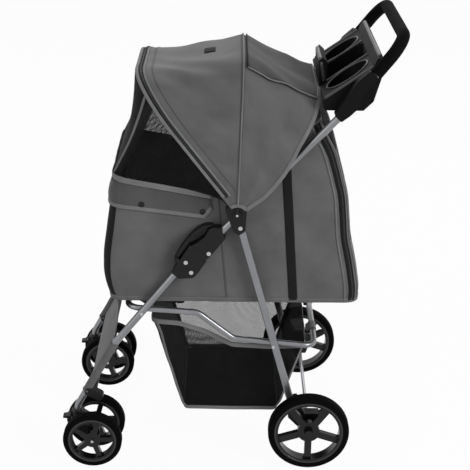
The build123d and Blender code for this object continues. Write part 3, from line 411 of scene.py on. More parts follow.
def rod(name, path, radius, material, closed=False, sides=10):
    """Round bead or wire along path. radius is a number or one for each point."""
    rings, normal = [], None
    angles = [2 * pi * k / sides for k in range(sides)]
    for i, p in enumerate(path):
        tangent = heading(path, i, closed)
        if normal is None:
            normal = tangent.orthogonal().normalized()
        normal = (normal - tangent * normal.dot(tangent)).normalized()
        other = tangent.cross(normal)
        r = radius[i] if isinstance(radius, list) else radius
        rings.append([p + normal * (r * cos(a)) + other * (r * sin(a)) for a in angles])
    return swept(name, rings, material, closed)


def turned(name, centre, axis, profile, material, sides=32):
    """Lathed piece: profile is (radius, height along axis) from its start to its end."""
    axis = Vector(axis).normalized()
    one = axis.orthogonal().normalized()
    two = axis.cross(one)
    points, faces = [], []
    n = len(profile)
    for k in range(sides):
        a = 2 * pi * k / sides
        for r, h in profile:
            points.append(Vector(centre) + axis * h + (one * cos(a) + two * sin(a)) * max(r, 1e-6))
        m = (k + 1) % sides
        for i in range(n - 1):
            faces.append((k * n + i, m * n + i, m * n + i + 1, k * n + i + 1))
        if profile[0] != profile[-1] and profile[0][0] > 1e-5 and profile[-1][0] > 1e-5:
            faces.append((k * n + n - 1, m * n + n - 1, m * n, k * n))
    obj = piece(name, points, faces, material)
    face_out(obj, 2e-6, 1e-6)
    return obj


def ripple(p, size, amount):
    """Smooth random height, the same on every run."""
    return amount * noise.noise(Vector((p.x / size, p.y / size, p.z / size)))


def along(table, value):
    """Straight-line reading of a table of (key, result) pairs."""
    if value <= table[0][0]:
        return table[0][1]
    for (k0, r0), (k1, r1) in zip(table, table[1:]):
        if value <= k1:
            return r0 + (r1 - r0) * (value - k0) / (k1 - k0)
    return table[-1][1]


def smooth_along(table, value, reach):
    """The same reading, averaged a little either side, so the cloth has no hard creases."""
    offsets = (-1.0, -0.5, 0.0, 0.5, 1.0)
    return sum(along(table, value + o * reach) for o in offsets) / len(offsets)


def plan_box(length, half):
    """Corners of a plan, front at x = 0, from the back on the side of +y round by the front."""
    return [Vector((x * length, y * half, 0)) for x, y in ((1, 1), (0, 1), (0, -1), (1, -1))]


def way_out(plan, i):
    """Square to a closed plan at its column i, outwards."""
    count = len(plan) - 1
    run = plan[(i + 1) % count] - plan[(i - 1) % count]
    return Vector((run.y, -run.x, 0)).normalized()


def between_walls(front, back, reach, t, z):
    """x at height z, a share t of the way from the front wall's line to the back wall's."""
    near = smooth_along(front, z, reach)
    return near + t * (smooth_along(back, z, reach) - near)


def rim_height(rim, x_at, t, z, rounds):
    """Height at which the wall at share t meets the rim, found from a first guess z."""
    for _ in range(rounds):
        z = along(rim, x_at(t, z))
    return z


# ---------------- cabin
CLOTH_THICK = 0.0012
SIDES = (("left", -1), ("right", 1))


def fold_flat(obj):
    """Cloth of the cabin rides with the upper frame, on a mesh of its own."""
    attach(obj, "upper_frame")
    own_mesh(obj)
    return obj


CABIN_HALF = 0.1622
CABIN_FLOOR = 0.3695
CABIN_FRONT = [
    (0.369, -0.243), (0.390, -0.254), (0.425, -0.2605), (0.470, -0.259), (0.560, -0.246), (0.643, -0.2345)
]
CABIN_BACK = [
    (0.369, 0.280), (0.395, 0.284), (0.460, 0.272), (0.515, 0.2585), (0.610, 0.249), (0.700, 0.222),
    (0.771, 0.184),
]
CABIN_RIM = [(-0.234, 0.643), (-0.034, 0.607), (0.020, 0.590), (0.162, 0.760), (0.184, 0.771)]
PLAN_LENGTH = 0.520
COLUMNS = 208
BACK_MIDDLE = Vector((PLAN_LENGTH, 0, 0))
plan_loop = rounded(plan_box(PLAN_LENGTH, CABIN_HALF), 0.036, closed=True)
PLAN = spread([BACK_MIDDLE] + plan_loop + [BACK_MIDDLE], COLUMNS)


def plan_normal(i):
    return way_out(PLAN, i)


def cabin_x(t, z):
    return between_walls(CABIN_FRONT, CABIN_BACK, 0.014, t, z)


TOPS = [rim_height(CABIN_RIM, cabin_x, p.x / PLAN_LENGTH, 0.6, 14) for p in PLAN]


def cabin_slack(base):
    """How far the cabin's cloth stands out from its cut: slow waves, fine ones, and a little inwards."""
    return ripple(base, 0.085, 0.0016) + ripple(base, 0.03, 0.0005) - 0.0011


def cabin_point(i, z, lift=0.0):
    """Point of the cabin's cloth at plan column i and height z."""
    p = PLAN[i % COLUMNS]
    base = Vector((cabin_x(p.x / PLAN_LENGTH, z), p.y, z))
    tuck = -0.006 * max(0.0, 1 - (z - CABIN_FLOOR) / 0.006)
    return base + plan_normal(i) * (cabin_slack(base) + tuck + lift)


def cabin_surface(u, v):
    i = round(u * COLUMNS)
    return cabin_point(i, CABIN_FLOOR + v * (TOPS[i % COLUMNS] - CABIN_FLOOR))


def is_front(i):
    return plan_normal(i % COLUMNS).x < -0.42


def is_back(i):
    return PLAN[i % COLUMNS].x > PLAN_LENGTH - 0.006


ROWS = 56
slots = []
for i in range(COLUMNS):
    for j in range(ROWS):
        height = CABIN_FLOOR + (j + 0.5) / ROWS * (TOPS[i] - CABIN_FLOOR)
        if is_front(i) and is_front(i + 1):
            slots.append(1)
        elif is_back(i) and is_back(i + 1) and 0.505 < height < 0.762:
            slots.append(2)
        else:
            slots.append(0)
cabin_cloth = grid(
    "cabin_cloth", cabin_surface, COLUMNS, ROWS, [POLYESTER, BLACK_TWILL, NETTING], face_slots=slots,
    outward=lambda c: Vector((c.x, c.y, 0)),
)


def floor_surface(u, v):
    rim = cabin_point(round(u * COLUMNS), CABIN_FLOOR)
    return Vector((0.012, 0.0, CABIN_FLOOR)).lerp(rim, v)


cabin_floor = grid("cabin_floor", floor_surface, COLUMNS, 6, BLACK_TWILL, outward=lambda c: DOWN)


def column_at(distance, side):
    """Plan column nearest to a place: distance back from the front wall on one side."""
    return min(
        (i for i in range(COLUMNS) if PLAN[i].y * side > 0),
        key=lambda i: abs(PLAN[i].x - distance) + (0 if abs(PLAN[i].y) > 0.13 else 1),
    )


def wall_run(i, low, high, lift=0.0):
    """Line up the cabin's wall at column i."""
    return [cabin_point(i, low + k / 40 * (high - low), lift) for k in range(41)]


def side_skin(x, z, side, lift=0.0):
    """Point of the cabin's flat side at x, z."""
    base = Vector((x, side * CABIN_HALF, z))
    return base + ACROSS * side * (cabin_slack(base) + lift)


trims = [
    ribbon(
        "cabin_bottom_binding", [cabin_point(i, CABIN_FLOOR + 0.0065) for i in range(COLUMNS)],
        [plan_normal(i) for i in range(COLUMNS)], 0.011, 0.0012, POLYESTER, closed=True,
    )
]
teeth_paths = []
for side_name, side in SIDES:
    out = ACROSS * side
    strap = [side_skin(0.118 + (0.674 - z) * 0.076, z, side) for z in [0.70 - k * 0.0083 for k in range(40)]]
    trims.append(ribbon(f"cabin_strap_{side_name}", strap, out, 0.019, 0.0016, WEBBING))
    seam = [side_skin(-0.018 + (0.60 - z) * 0.085, z, side) for z in [0.60 - k * 0.0078 for k in range(30)]]
    trims.append(ribbon(f"cabin_side_seam_{side_name}", seam, out, 0.0045, 0.0008, POLYESTER_LINED))
    for distance, width, thick, material in (
        (0.4865, 0.0032, 0.0022, GROSGRAIN), (0.5, 0.015, 0.0012, BLACK_TWILL),
        (0.516, 0.0035, 0.0022, GROSGRAIN),
    ):
        i = column_at(distance, side)
        name = f"cabin_back_trim_{side_name}_{round(distance * 1000)}"
        path = wall_run(i, 0.376, TOPS[i] - 0.004)
        trims.append(ribbon(name, path, plan_normal(i), width, thick, material))
    i = column_at(0.5, side)
    teeth_paths.append((f"rear_zip_{side_name}", wall_run(i, 0.378, TOPS[i] - 0.006, lift=0.0016)))
front_columns = [i for i in range(COLUMNS) if cabin_x(PLAN[i].x / PLAN_LENGTH, TOPS[i]) < -0.030]
sill = [cabin_point(i, TOPS[i] + 0.001, 0.0012) for i in front_columns]
trims.append(
    ribbon("window_sill_binding", sill, [plan_normal(i) for i in front_columns], 0.0125, 0.0016, GROSGRAIN)
)


# the cover for the window, rolled down over the front of the cabin and pressed shut with snaps
def flap_low(x):
    """Height of the rolled cover's lower edge."""
    return along([(-0.245, 0.584), (-0.046, 0.561), (-0.030, 0.588)], x)


FLAP_COLUMNS = [i for i in range(COLUMNS) if cabin_x(PLAN[i].x / PLAN_LENGTH, 0.60) < -0.031]
FLAP_STEPS = len(FLAP_COLUMNS) - 1


def flap_surface(u, v):
    i = FLAP_COLUMNS[round(u * FLAP_STEPS)]
    x = cabin_x(PLAN[i].x / PLAN_LENGTH, 0.59)
    low = flap_low(x)
    z = low + v * (TOPS[i] - 0.006 - low)
    billow = 0.0035 * sin(pi * v) if is_front(i) else 0.0004 * sin(pi * v)
    return cabin_point(i, z, 0.0026 + billow)


window_cover = grid(
    "window_cover", flap_surface, FLAP_STEPS, 14, POLYESTER_LINED, thickness=0.0013,
    outward=lambda c: Vector((-1, c.y * 20, 0)) if c.x > -0.2 else Vector((-1, 0, 0)),
)
hem = [flap_surface(k / FLAP_STEPS, 0.06) for k in range(FLAP_STEPS + 1)]
hem_normals = [plan_normal(i) for i in FLAP_COLUMNS]
trims.append(ribbon("window_cover_binding", hem, hem_normals, 0.0085, 0.0012, GROSGRAIN))
SNAP_PROFILE = [
    (0.0, 0.0016), (0.0033, 0.0016), (0.0040, 0.0009), (0.0054, 0.0013), (0.0064, 0.0006), (0.0064, -0.0003),
    (0.0, -0.0003),
]
for side_name, side in SIDES:
    for spot, x in (("front", -0.175), ("back", -0.050)):
        centre = side_skin(x, flap_low(x) + 0.013, side, 0.0028)
        name = f"cover_snap_{side_name}_{spot}"
        trims.append(turned(name, centre, ACROSS * side, SNAP_PROFILE, RIM_PLASTIC, sides=24))
for trim in trims:
    fold_flat(trim)
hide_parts("cabin_tub")
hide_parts("window_flap")
for obj in (cabin_cloth, cabin_floor, window_cover):
    fold_flat(obj)


# ---------------- canopy
PIVOT = Vector((0.020, 0.0, 0.577))
CANOPY_HALF = 0.1945
CANOPY_CORNER = 0.118
CANOPY_FOOT = 0.022
HOOP_POINTS = 96


def hoop(angle_of, reach):
    """Arch with round corners from its left foot over the crown to its right foot. angle_of gives the angle
    of each of its points from how far out it lies."""
    path = [Vector((-CANOPY_HALF, CANOPY_FOOT, 0))]
    for side, first in ((-1, 180), (1, 90)):
        centre = Vector((side * (CANOPY_HALF - CANOPY_CORNER), reach - CANOPY_CORNER, 0))
        for k in range(17):
            a = radians(first - 90 * k / 16)
            path.append(centre + Vector((cos(a), sin(a), 0)) * CANOPY_CORNER)
    path.append(Vector((CANOPY_HALF, CANOPY_FOOT, 0)))
    out = []
    for p in spread(path, HOOP_POINTS):
        a = radians(angle_of(p.y))
        out.append(PIVOT + Vector((cos(a) * p.y, p.x, sin(a) * p.y)))
    return out


FRONT_ANGLE, MID_ANGLE = 127.6, 88.5  # degrees up from +x, as the CAD's bows
FRONT_REACH, MID_REACH, REAR_REACH = 0.3435, 0.3065, 0.2875  # from the pivot to the crown
REAR_EDGE = [  # how far out from the pivot, and at what angle the cloth ends there
    (0.022, 40.0), (0.062, 37.0), (0.097, 41.0), (0.129, 44.0), (0.155, 47.0), (0.189, 50.5), (0.257, 53.0),
    (0.29, 54.5),
]
FRONT_HOOP = hoop(lambda r: FRONT_ANGLE, FRONT_REACH)
MID_HOOP = hoop(lambda r: MID_ANGLE, MID_REACH)
REAR_HOOP = hoop(lambda r: along(REAR_EDGE, r), REAR_REACH)


def canopy_cloth(first, second, sag):
    """Surface between two hoops: the cloth sags, ripples and folds between them."""

    def surface(u, v):
        a, b = first[round(u * HOOP_POINTS)], second[round(u * HOOP_POINTS)]
        p = a.lerp(b, v)
        inward = (Vector((PIVOT.x, p.y * 0.55, PIVOT.z)) - p).normalized()
        reach = min(1.0, (a - b).length / 0.15)
        p = p + inward * (sag * reach * sin(pi * v))
        fold_line = sin(p.y * 46 + 5.5 * sin(v * 2.6 + p.y * 9)) * 0.0026
        slack = 1 - 0.7 * max(0.0, 1 - abs(p.y) / 0.13)  # drawn tight over the crown
        return p - inward * ((ripple(p, 0.085, 0.0042) + fold_line) * slack * sin(pi * v) * reach)

    return surface


front_cloth = canopy_cloth(FRONT_HOOP, MID_HOOP, 0.007)
rear_cloth = canopy_cloth(MID_HOOP, REAR_HOOP, 0.004)


def skyward(c):
    return c - Vector((0.0, c.y * 0.4, PIVOT.z))


canopy_front_cloth, canopy_rear_cloth = (
    grid(name, surface, HOOP_POINTS, rows, POLYESTER, thickness=CLOTH_THICK, outward=skyward)
    for name, surface, rows in (("canopy_front_cloth", front_cloth, 26), ("canopy_rear_cloth", rear_cloth, 22))
)
for obj, cad in ((canopy_front_cloth, "canopy_front"), (canopy_rear_cloth, "canopy_rear")):
    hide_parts(cad)


def surface_normals(path, other):
    """Outward normals along path, from a second path a little way across the same cloth."""
    normals = []
    for i, p in enumerate(path):
        tangent = path[min(i + 1, len(path) - 1)] - path[max(i - 1, 0)]
        normal = tangent.cross(other[i] - p).normalized()
        normals.append(normal if normal.dot(skyward(p)) > 0 else -normal)
    return normals


def across_cloth(surface, first, second, distance, start=0, end=HOOP_POINTS):
    """Line over the arch at a distance from the first hoop, with the cloth's normals."""
    path, other = [], []
    for k in range(start, end + 1):
        run = (first[k] - second[k]).length
        t = min(0.9, distance / max(run, 1e-6))
        path.append(surface(k / HOOP_POINTS, t))
        other.append(surface(k / HOOP_POINTS, min(1.0, t + 0.05)))
    return path, surface_normals(path, other)


front_trims, rear_trims = [], []
for label, distance, width, thick, material in (
    ("edge", 0.0035, 0.0065, 0.0016, GROSGRAIN), ("zip", 0.0105, 0.0085, 0.0011, BLACK_TWILL),
    ("inner", 0.0168, 0.0045, 0.0016, GROSGRAIN), ("seam", 0.0335, 0.0022, 0.0007, POLYESTER_LINED),
):
    path, normals = across_cloth(front_cloth, FRONT_HOOP, MID_HOOP, distance, 3, HOOP_POINTS - 3)
    front_trims.append(ribbon(f"canopy_front_{label}", path, normals, width, thick, material))
    if label == "zip":
        zip_line = [p + n * 0.0016 for p, n in zip(path, normals)]
path, normals = across_cloth(rear_cloth, MID_HOOP, REAR_HOOP, 0.0006)
mid_piping = rod("canopy_middle_piping", [p + n * 0.0012 for p, n in zip(path, normals)], 0.0017, GROSGRAIN)
for label, start, end in (("left", 0, 40), ("right", HOOP_POINTS - 40, HOOP_POINTS)):
    path = [rear_cloth(k / HOOP_POINTS, 0.985) for k in range(start, end + 1)]
    other = [rear_cloth(k / HOOP_POINTS, 0.9) for k in range(start, end + 1)]
    rear_trims.append(
        ribbon(f"canopy_lower_binding_{label}", path, surface_normals(path, other), 0.0085, 0.0015, GROSGRAIN)
    )
feet = []
for side_name, side in SIDES:
    edge = []
    for angle in range(124, 38, -4):
        a = radians(angle)
        outwards = Vector((cos(a), 0, sin(a))) * (CANOPY_FOOT + 0.0015)
        edge.append(PIVOT + outwards + ACROSS * side * (CANOPY_HALF + 0.0003))
    name = f"canopy_foot_binding_{side_name}"
    feet.append(ribbon(name, edge, ACROSS * side, 0.0075, 0.0014, GROSGRAIN))
# cover over the zip at the back of the canopy, with its piped lower edges
COVER_HALF = 0.134
COVER_POINTS = [k for k in range(HOOP_POINTS + 1) if abs(MID_HOOP[k].y) < COVER_HALF]
COVER_STEPS = len(COVER_POINTS) - 1


def cover_surface(u, v):
    k = COVER_POINTS[round(u * COVER_STEPS)]
    t = 0.045 + v * 0.9
    p, q = rear_cloth(k / HOOP_POINTS, t), rear_cloth(k / HOOP_POINTS, t + 0.02)
    side = rear_cloth((k + 1) / HOOP_POINTS, t)
    normal = (side - p).cross(q - p).normalized()
    if normal.dot(skyward(p)) < 0:
        normal = -normal
    loose = 0.0022 + 0.003 * abs(2 * u - 1) ** 3 + ripple(p, 0.05, 0.0012)
    return p + normal * loose


# the roof cover's cloth is painted darker for the shade that falls on it
roof_cover = grid(
    "roof_cover", cover_surface, COVER_STEPS, 16, ROOF_PAINTED_SHADE, thickness=0.0014, outward=skyward
)
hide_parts("roof_flap")
for label, line in (
    ("left", [(0.0, v / 16) for v in range(17)]), ("right", [(1.0, v / 16) for v in range(17)]),
    ("front", [(u / COVER_STEPS, 0.0) for u in range(COVER_STEPS + 1)]),
    ("back", [(u / COVER_STEPS, 1.0) for u in range(COVER_STEPS + 1)]),
):
    path = [cover_surface(u, v) for u, v in line]
    material = BLACK_TWILL if label == "front" else GROSGRAIN
    rear_trims.append(rod(f"roof_cover_piping_{label}", path, 0.0016, material))
# hook-and-loop patch on the crown
patch_points, patch_normals = across_cloth(front_cloth, FRONT_HOOP, MID_HOOP, 0.15, 47, 51)
front_trims.append(
    ribbon("canopy_fastener_patch", patch_points, patch_normals, 0.024, 0.0013, BLACK_TWILL)
)
BLENDS = {
    "front": ("canopy_mid", "canopy_front", MID_HOOP[48], FRONT_HOOP[48]),
    "rear": ("upper_frame", "canopy_mid", REAR_HOOP[48], MID_HOOP[48]),
}


def bend_with(obj, part):
    """Cloth of the canopy between two bows: bakes its place into its mesh; it doesn't follow the bows."""
    first, second, start, end = BLENDS[part]
    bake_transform(obj)
    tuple(start)
    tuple(end)


for obj in [canopy_front_cloth] + front_trims:
    bend_with(obj, "front")
for obj in [canopy_rear_cloth, roof_cover] + rear_trims:
    bend_with(obj, "rear")
for obj in [mid_piping] + feet:
    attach(obj, "canopy_mid")


# ---------------- window
WINDOW_STEPS = 120
ARCH_PATH = spread(FRONT_HOOP, WINDOW_STEPS)
sill_ends = [Vector((-0.034, y, 0.609)) for y in (0.163, -0.163)]
SILL_PATH = spread([sill_ends[0]] + sill + [sill_ends[1]], WINDOW_STEPS)[::-1]  # from -y to +y, as the arch


def window_surface(u, v):
    k = round(u * WINDOW_STEPS)
    low, high = SILL_PATH[k], ARCH_PATH[k]
    p = low.lerp(high, v)
    middle = Vector((-0.02, 0.0, 0.72))
    inward = (middle - p).normalized()
    front = max(0.0, 1 - abs(2 * u - 1) * 1.5)
    belly = (0.004 + 0.009 * front) * sin(pi * min(1, v * 1.02))
    return p + inward * (0.0012 + belly + ripple(p, 0.06, 0.0012))


WINDOW_ROWS = 40
FRONT_SHARE = 0.45  # of the net's width lies across the front, in the closer netting
window_net = grid(
    "window_net", window_surface, WINDOW_STEPS, WINDOW_ROWS, [NETTING, CLOSE_NETTING],
    outward=lambda c: Vector((-1, c.y * 6, 0)),
    face_slots=[
        int(abs(2 * i / WINDOW_STEPS - 1) < FRONT_SHARE)
        for i in range(WINDOW_STEPS)
        for j in range(WINDOW_ROWS)
    ],
)
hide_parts("front_window")
window_trims = []
for (label, side), u in zip(SIDES, (0.31, 0.69)):
    path = [window_surface(u, v / 30) for v in range(31)]
    name = f"window_corner_binding_{label}"
    window_trims.append(ribbon(name, path, Vector((-0.6, side * 0.8, 0)), 0.006, 0.0016, GROSGRAIN))
AWAY = Vector((-0.80, 0, -0.60))  # about square to the front bow's plane, towards the front
NET_STAYS, NET_FOLLOWS = PIVOT + AWAY * 0.12, PIVOT + AWAY * 0.004
for obj in [window_net] + window_trims:
    tuple(NET_STAYS)
    tuple(NET_FOLLOWS)
    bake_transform(obj)


# ---------------- panel between the front legs
LEG_X, KNEE = 0.175, Vector((-0.319, 0, 0.125))
LEG_RUN = Vector((-0.237, 0, 0.274)) - KNEE
PANEL = [  # x and z down the middle of the panel
    (-0.2300, 0.3668), (-0.2318, 0.330), (-0.2365, 0.285), (-0.2450, 0.2585), (-0.2600, 0.2315),
    (-0.2750, 0.2042), (-0.2905, 0.1760),
]
PANEL_LINE = spread(rounded([Vector((x, 0, z)) for x, z in PANEL], 0.02), 40)


def panel_surface(u, v):
    p = PANEL_LINE[round(v * 40)].copy()
    half = along([(0.176, 0.1668), (0.262, 0.1668), (0.285, 0.1642), (0.367, 0.1605)], p.z)
    p.y = (2 * u - 1) * half
    p += Vector((-0.8, 0, 0.3)) * (ripple(p, 0.09, 0.0018) + 0.0012 * sin(pi * u))
    return p


leg_panel_cloth = grid(
    "leg_panel_cloth", panel_surface, 60, 40, POLYESTER, thickness=CLOTH_THICK,
    outward=lambda c: Vector((-1, 0, 0.2)),
)
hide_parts("leg_panel")
leg_pieces = [leg_panel_cloth]
for side_name, side in SIDES:
    path, radii = [], []
    for k in range(41):
        p = KNEE + LEG_RUN * (0.24 + 0.775 * k / 40)
        p.y = side * LEG_X
        path.append(p)
        radii.append(0.0089 + ripple(p, 0.013, 0.0005) + (0.0007 if k in (0, 1, 39, 40) else 0))
    leg_pieces.append(rod(f"leg_sleeve_{side_name}", path, radii, POLYESTER, sides=20))
    edge = [panel_surface(0.0 if side < 0 else 1.0, v / 40) for v in range(20)]
    leg_pieces.append(rod(f"leg_panel_hem_{side_name}", edge, 0.0014, GROSGRAIN))
top_edge = [panel_surface(u / 40, 0.0) for u in range(41)]
for obj in leg_pieces + [rod("leg_panel_hem_top", top_edge, 0.0015, GROSGRAIN)]:
    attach(obj, "front_frame")


# ---------------- basket
BASKET_FRONT = [(0.099, -0.0885), (0.112, -0.100), (0.224, -0.1345), (0.287, -0.1475), (0.322, -0.161)]
BASKET_BACK = [(0.099, 0.112), (0.120, 0.1285), (0.200, 0.154), (0.265, 0.1745)]
BASKET_RIM = [
    (-0.164, 0.321), (-0.100, 0.316), (-0.045, 0.298), (0.015, 0.267), (0.090, 0.2625), (0.176, 0.2655)
]
BASKET_HALF = 0.1525
BASKET_LENGTH = 0.30
BASKET_COLUMNS = 160
BASKET_FLOOR = 0.099
loop = sorted(
    rounded(plan_box(BASKET_LENGTH, BASKET_HALF), 0.022, closed=True),
    key=lambda p: atan2(p.y, p.x - BASKET_LENGTH / 2),
)
BASKET_PLAN = spread(loop + [loop[0]], BASKET_COLUMNS)


def basket_x(t, z):
    return between_walls(BASKET_FRONT, BASKET_BACK, 0.006, t, z)


BASKET_TOPS = [rim_height(BASKET_RIM, basket_x, p.x / BASKET_LENGTH, 0.28, 12) for p in BASKET_PLAN]


def basket_normal(i):
    return way_out(BASKET_PLAN, i)


def basket_point(i, z, lift=0.0):
    i %= BASKET_COLUMNS
    p = BASKET_PLAN[i]
    taper = 0.955 + 0.045 * min(1.0, (z - BASKET_FLOOR) / 0.1)
    base = Vector((basket_x(p.x / BASKET_LENGTH, z), p.y * taper, z))
    drawn_in = 0.004 * sin(pi * min(1, (z - BASKET_FLOOR) / 0.17))
    slack = ripple(base, 0.06, 0.0022) - 0.001 - drawn_in
    return base + basket_normal(i) * (slack + lift)


def basket_surface(u, v):
    i = round(u * BASKET_COLUMNS) % BASKET_COLUMNS
    return basket_point(i, BASKET_FLOOR + v * (BASKET_TOPS[i] - BASKET_FLOOR))


basket_net = grid(
    "basket_net", basket_surface, BASKET_COLUMNS, 36, [NETTING, CLOSE_NETTING],
    outward=lambda c: Vector((c.x - 0.01, c.y, 0)),
    face_slots=[1 if abs(basket_normal(i).x) > 0.6 else 0 for i in range(BASKET_COLUMNS) for j in range(36)],
)


def basket_floor_surface(u, v):
    rim = basket_point(round(u * BASKET_COLUMNS), 0.0992)
    return Vector((0.012, 0, 0.0986)).lerp(rim, v)


basket_base = grid(
    "basket_base", basket_floor_surface, BASKET_COLUMNS, 8, BLACK_TWILL, outward=lambda c: DOWN
)
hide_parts("basket")


def basket_columns_at(x_share, side):
    """Column of the net nearest to a share of the basket's length, on one side."""
    want = Vector((x_share * BASKET_LENGTH, side * BASKET_HALF, 0))
    return min(range(BASKET_COLUMNS), key=lambda i: (BASKET_PLAN[i] - want).length)


basket_trims = []
for label, heights, width, thick in (
    ("rim", [top - 0.003 for top in BASKET_TOPS], 0.011, 0.0014),
    ("foot", [0.1035] * BASKET_COLUMNS, 0.0085, 0.0012),
):
    path = [basket_point(i, heights[i]) for i in range(BASKET_COLUMNS)]
    normals = [basket_normal(i) for i in range(BASKET_COLUMNS)]
    name = f"basket_{label}_binding"
    basket_trims.append(ribbon(name, path, normals, width, thick, GROSGRAIN, closed=True))
for side_name, side in SIDES:
    for end, share in (("front", 0.012), ("back", 0.988)):
        i = basket_columns_at(share, side)
        path = [basket_point(i, 0.104 + k / 30 * (BASKET_TOPS[i] - 0.108)) for k in range(31)]
        name = f"basket_corner_binding_{side_name}_{end}"
        basket_trims.append(ribbon(name, path, basket_normal(i), 0.0062, 0.0013, GROSGRAIN))


def hanger(name, top, foot, width):
    """Loop of tape from the basket's rim up over the rail and back."""
    away = (top - foot).normalized()
    outwards = ACROSS.cross(away).normalized()
    path = [foot + outwards * 0.0026]
    for k in range(13):
        a = radians(-20 + 220 * k / 12)
        path.append(top + (outwards * cos(a) + away * sin(a)) * 0.0078)
    path.append(foot - outwards * 0.0026)
    path = spread(path, 30)
    normals = []
    for k, p in enumerate(path):
        tangent = (path[min(k + 1, 30)] - path[max(k - 1, 0)]).normalized()
        normals.append(ACROSS.cross(tangent).normalized())
    if normals[15].dot(path[15] - top) < 0:
        normals = [-n for n in normals]
    return ribbon(name, path, normals, width, 0.0011, GROSGRAIN)


RAIL_LOOPS = (  # x and z of the rail, then of the basket's rim; and the tape's width
    ("back", (0.190, 0.267), (0.1775, 0.262), 0.034), ("front", (-0.208, 0.3545), (-0.1625, 0.318), 0.022)
)
for label, y in (("left", -0.070), ("right", 0.070)):
    for end, (rail_x, rail_z), (foot_x, foot_z), width in RAIL_LOOPS:
        top, foot = Vector((rail_x, y, rail_z)), Vector((foot_x, y, foot_z))
        basket_trims.append(hanger(f"basket_{end}_loop_{label}", top, foot, width))


def fold_with_rail(obj):
    """Cloth of the basket rides the rail, on a mesh of its own."""
    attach(obj, "rail")
    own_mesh(obj)


for obj in [basket_net, basket_base] + basket_trims:
    fold_with_rail(obj)


# ---------------- pad on the cabin floor
MAT_LOW, MAT_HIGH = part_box("floor_mat")
PAD_PULL, PAD_CROWN = 0.006, 0.0085


def pad_mesh():
    """Crowned pad: a rounded plan, sides that pull in between the corners, quilted lines sunk across it."""
    half = Vector(((MAT_HIGH.x - MAT_LOW.x) / 2, (MAT_HIGH.y - MAT_LOW.y) / 2, 0))
    centre = (MAT_LOW + MAT_HIGH) / 2
    n, m = 64, 44
    points, faces = [], []
    for level in (0, 1):
        for i in range(n + 1):
            for j in range(m + 1):
                a, b = 2 * i / n - 1, 2 * j / m - 1
                x = a * (half.x - PAD_PULL * (1 - b * b))
                y = b * (half.y - PAD_PULL * (1 - a * a))
                edge = (1 - abs(a) ** 6) * (1 - abs(b) ** 6)
                z = (PAD_CROWN if level else -PAD_CROWN) * max(0.0, edge) ** 0.35
                if level:
                    for q in (-0.5, 0.0, 0.5):
                        z -= 0.0035 * exp(-(((a - q) * half.x) / 0.006) ** 2) * edge
                    z += ripple(Vector((x, y, 0)), 0.05, 0.0012) * edge
                points.append(centre + Vector((x, y, z)))
    step = m + 1
    base = (n + 1) * step
    for i in range(n):
        for j in range(m):
            a, b, c, d = i * step + j, (i + 1) * step + j, (i + 1) * step + j + 1, i * step + j + 1
            faces.append((base + a, base + b, base + c, base + d))
            faces.append((d, c, b, a))
    return points, faces


pad_points, pad_faces = pad_mesh()
floor_pad = piece("floor_pad", pad_points, pad_faces, FLEECE)
face_out(floor_pad, 1e-5)
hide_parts("floor_mat")
fold_flat(floor_pad)


# ---------------- straps and buckles under the cabin
for side_name, side in SIDES:
    y = side * 0.120
    z = 0.3600
    path = [Vector((-0.184 + 0.003 * k, y, z - 0.0006 * sin(k * 0.5))) for k in range(31)]
    strap = ribbon(f"under_strap_{side_name}", path, DOWN, 0.025, 0.0015, WEBBING)
    body = [
        (-0.1325, 0.0115), (-0.128, 0.0145), (-0.116, 0.0150), (-0.1145, 0.0128),
        (-0.106, 0.0128), (-0.1045, 0.0148), (-0.092, 0.0150), (-0.0885, 0.0120),
    ]
    outline = [Vector((x, y - w, 0)) for x, w in body] + [Vector((x, y + w, 0)) for x, w in reversed(body)]
    outline = rounded(outline, 0.003, closed=True, steps=4)
    centre = Vector((-0.1105, y, 0))
    rings = []
    for drop, shrink in ((0.0005, 0.93), (0.0022, 1.0), (0.0062, 1.0), (0.0082, 0.9)):
        rings.append([centre.lerp(p, shrink) + Vector((0, 0, z - drop)) for p in outline])
    buckle = swept(f"side_release_buckle_{side_name}", rings, ABS, smooth=False)
    edge = buckle.modifiers.new("edge", "BEVEL")
    edge.width, edge.segments = 0.0006, 2
    apply_modifiers(buckle)
    if side < 0:
        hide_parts("under_straps")
    for obj in (strap, buckle):
        fold_flat(obj)


# ---------------- beads on the tray's rims and the wheels' rims, lighter as painted highlight
TRAY_FRONT, TRAY_BACK = (0.184, 0.812), (0.281, 0.8795)  # x and z at the two ends of the tray's sloping top
CUP_X, CUP_Y = 0.236, 0.100
CUP_RIM_R = 0.0392
POCKET_LIP_Y, DIVIDER_Y, SIDE_RIM_Y, REAR_RIM_Y = 0.0545, 0.057, 0.1585, 0.150


def tray_top(x):
    """Height of the tray's sloping top."""
    (x0, z0), (x1, z1) = TRAY_FRONT, TRAY_BACK
    return z0 + (x - x0) * (z1 - z0) / (x1 - x0)


def slope(start, run, y, lift):
    """Line up the tray's top, from x = start."""
    xs = [start + run * k / 30 for k in range(31)]
    return [Vector((x, y, tray_top(x) + lift)) for x in xs]


def tray_rod(name, path, radius, **options):
    """Bead along the tray's rim, grey as a painted highlight."""
    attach(rod(name, path, radius, TRAY_RIM_PAINTED_HIGHLIGHT, **options), "upper_frame")


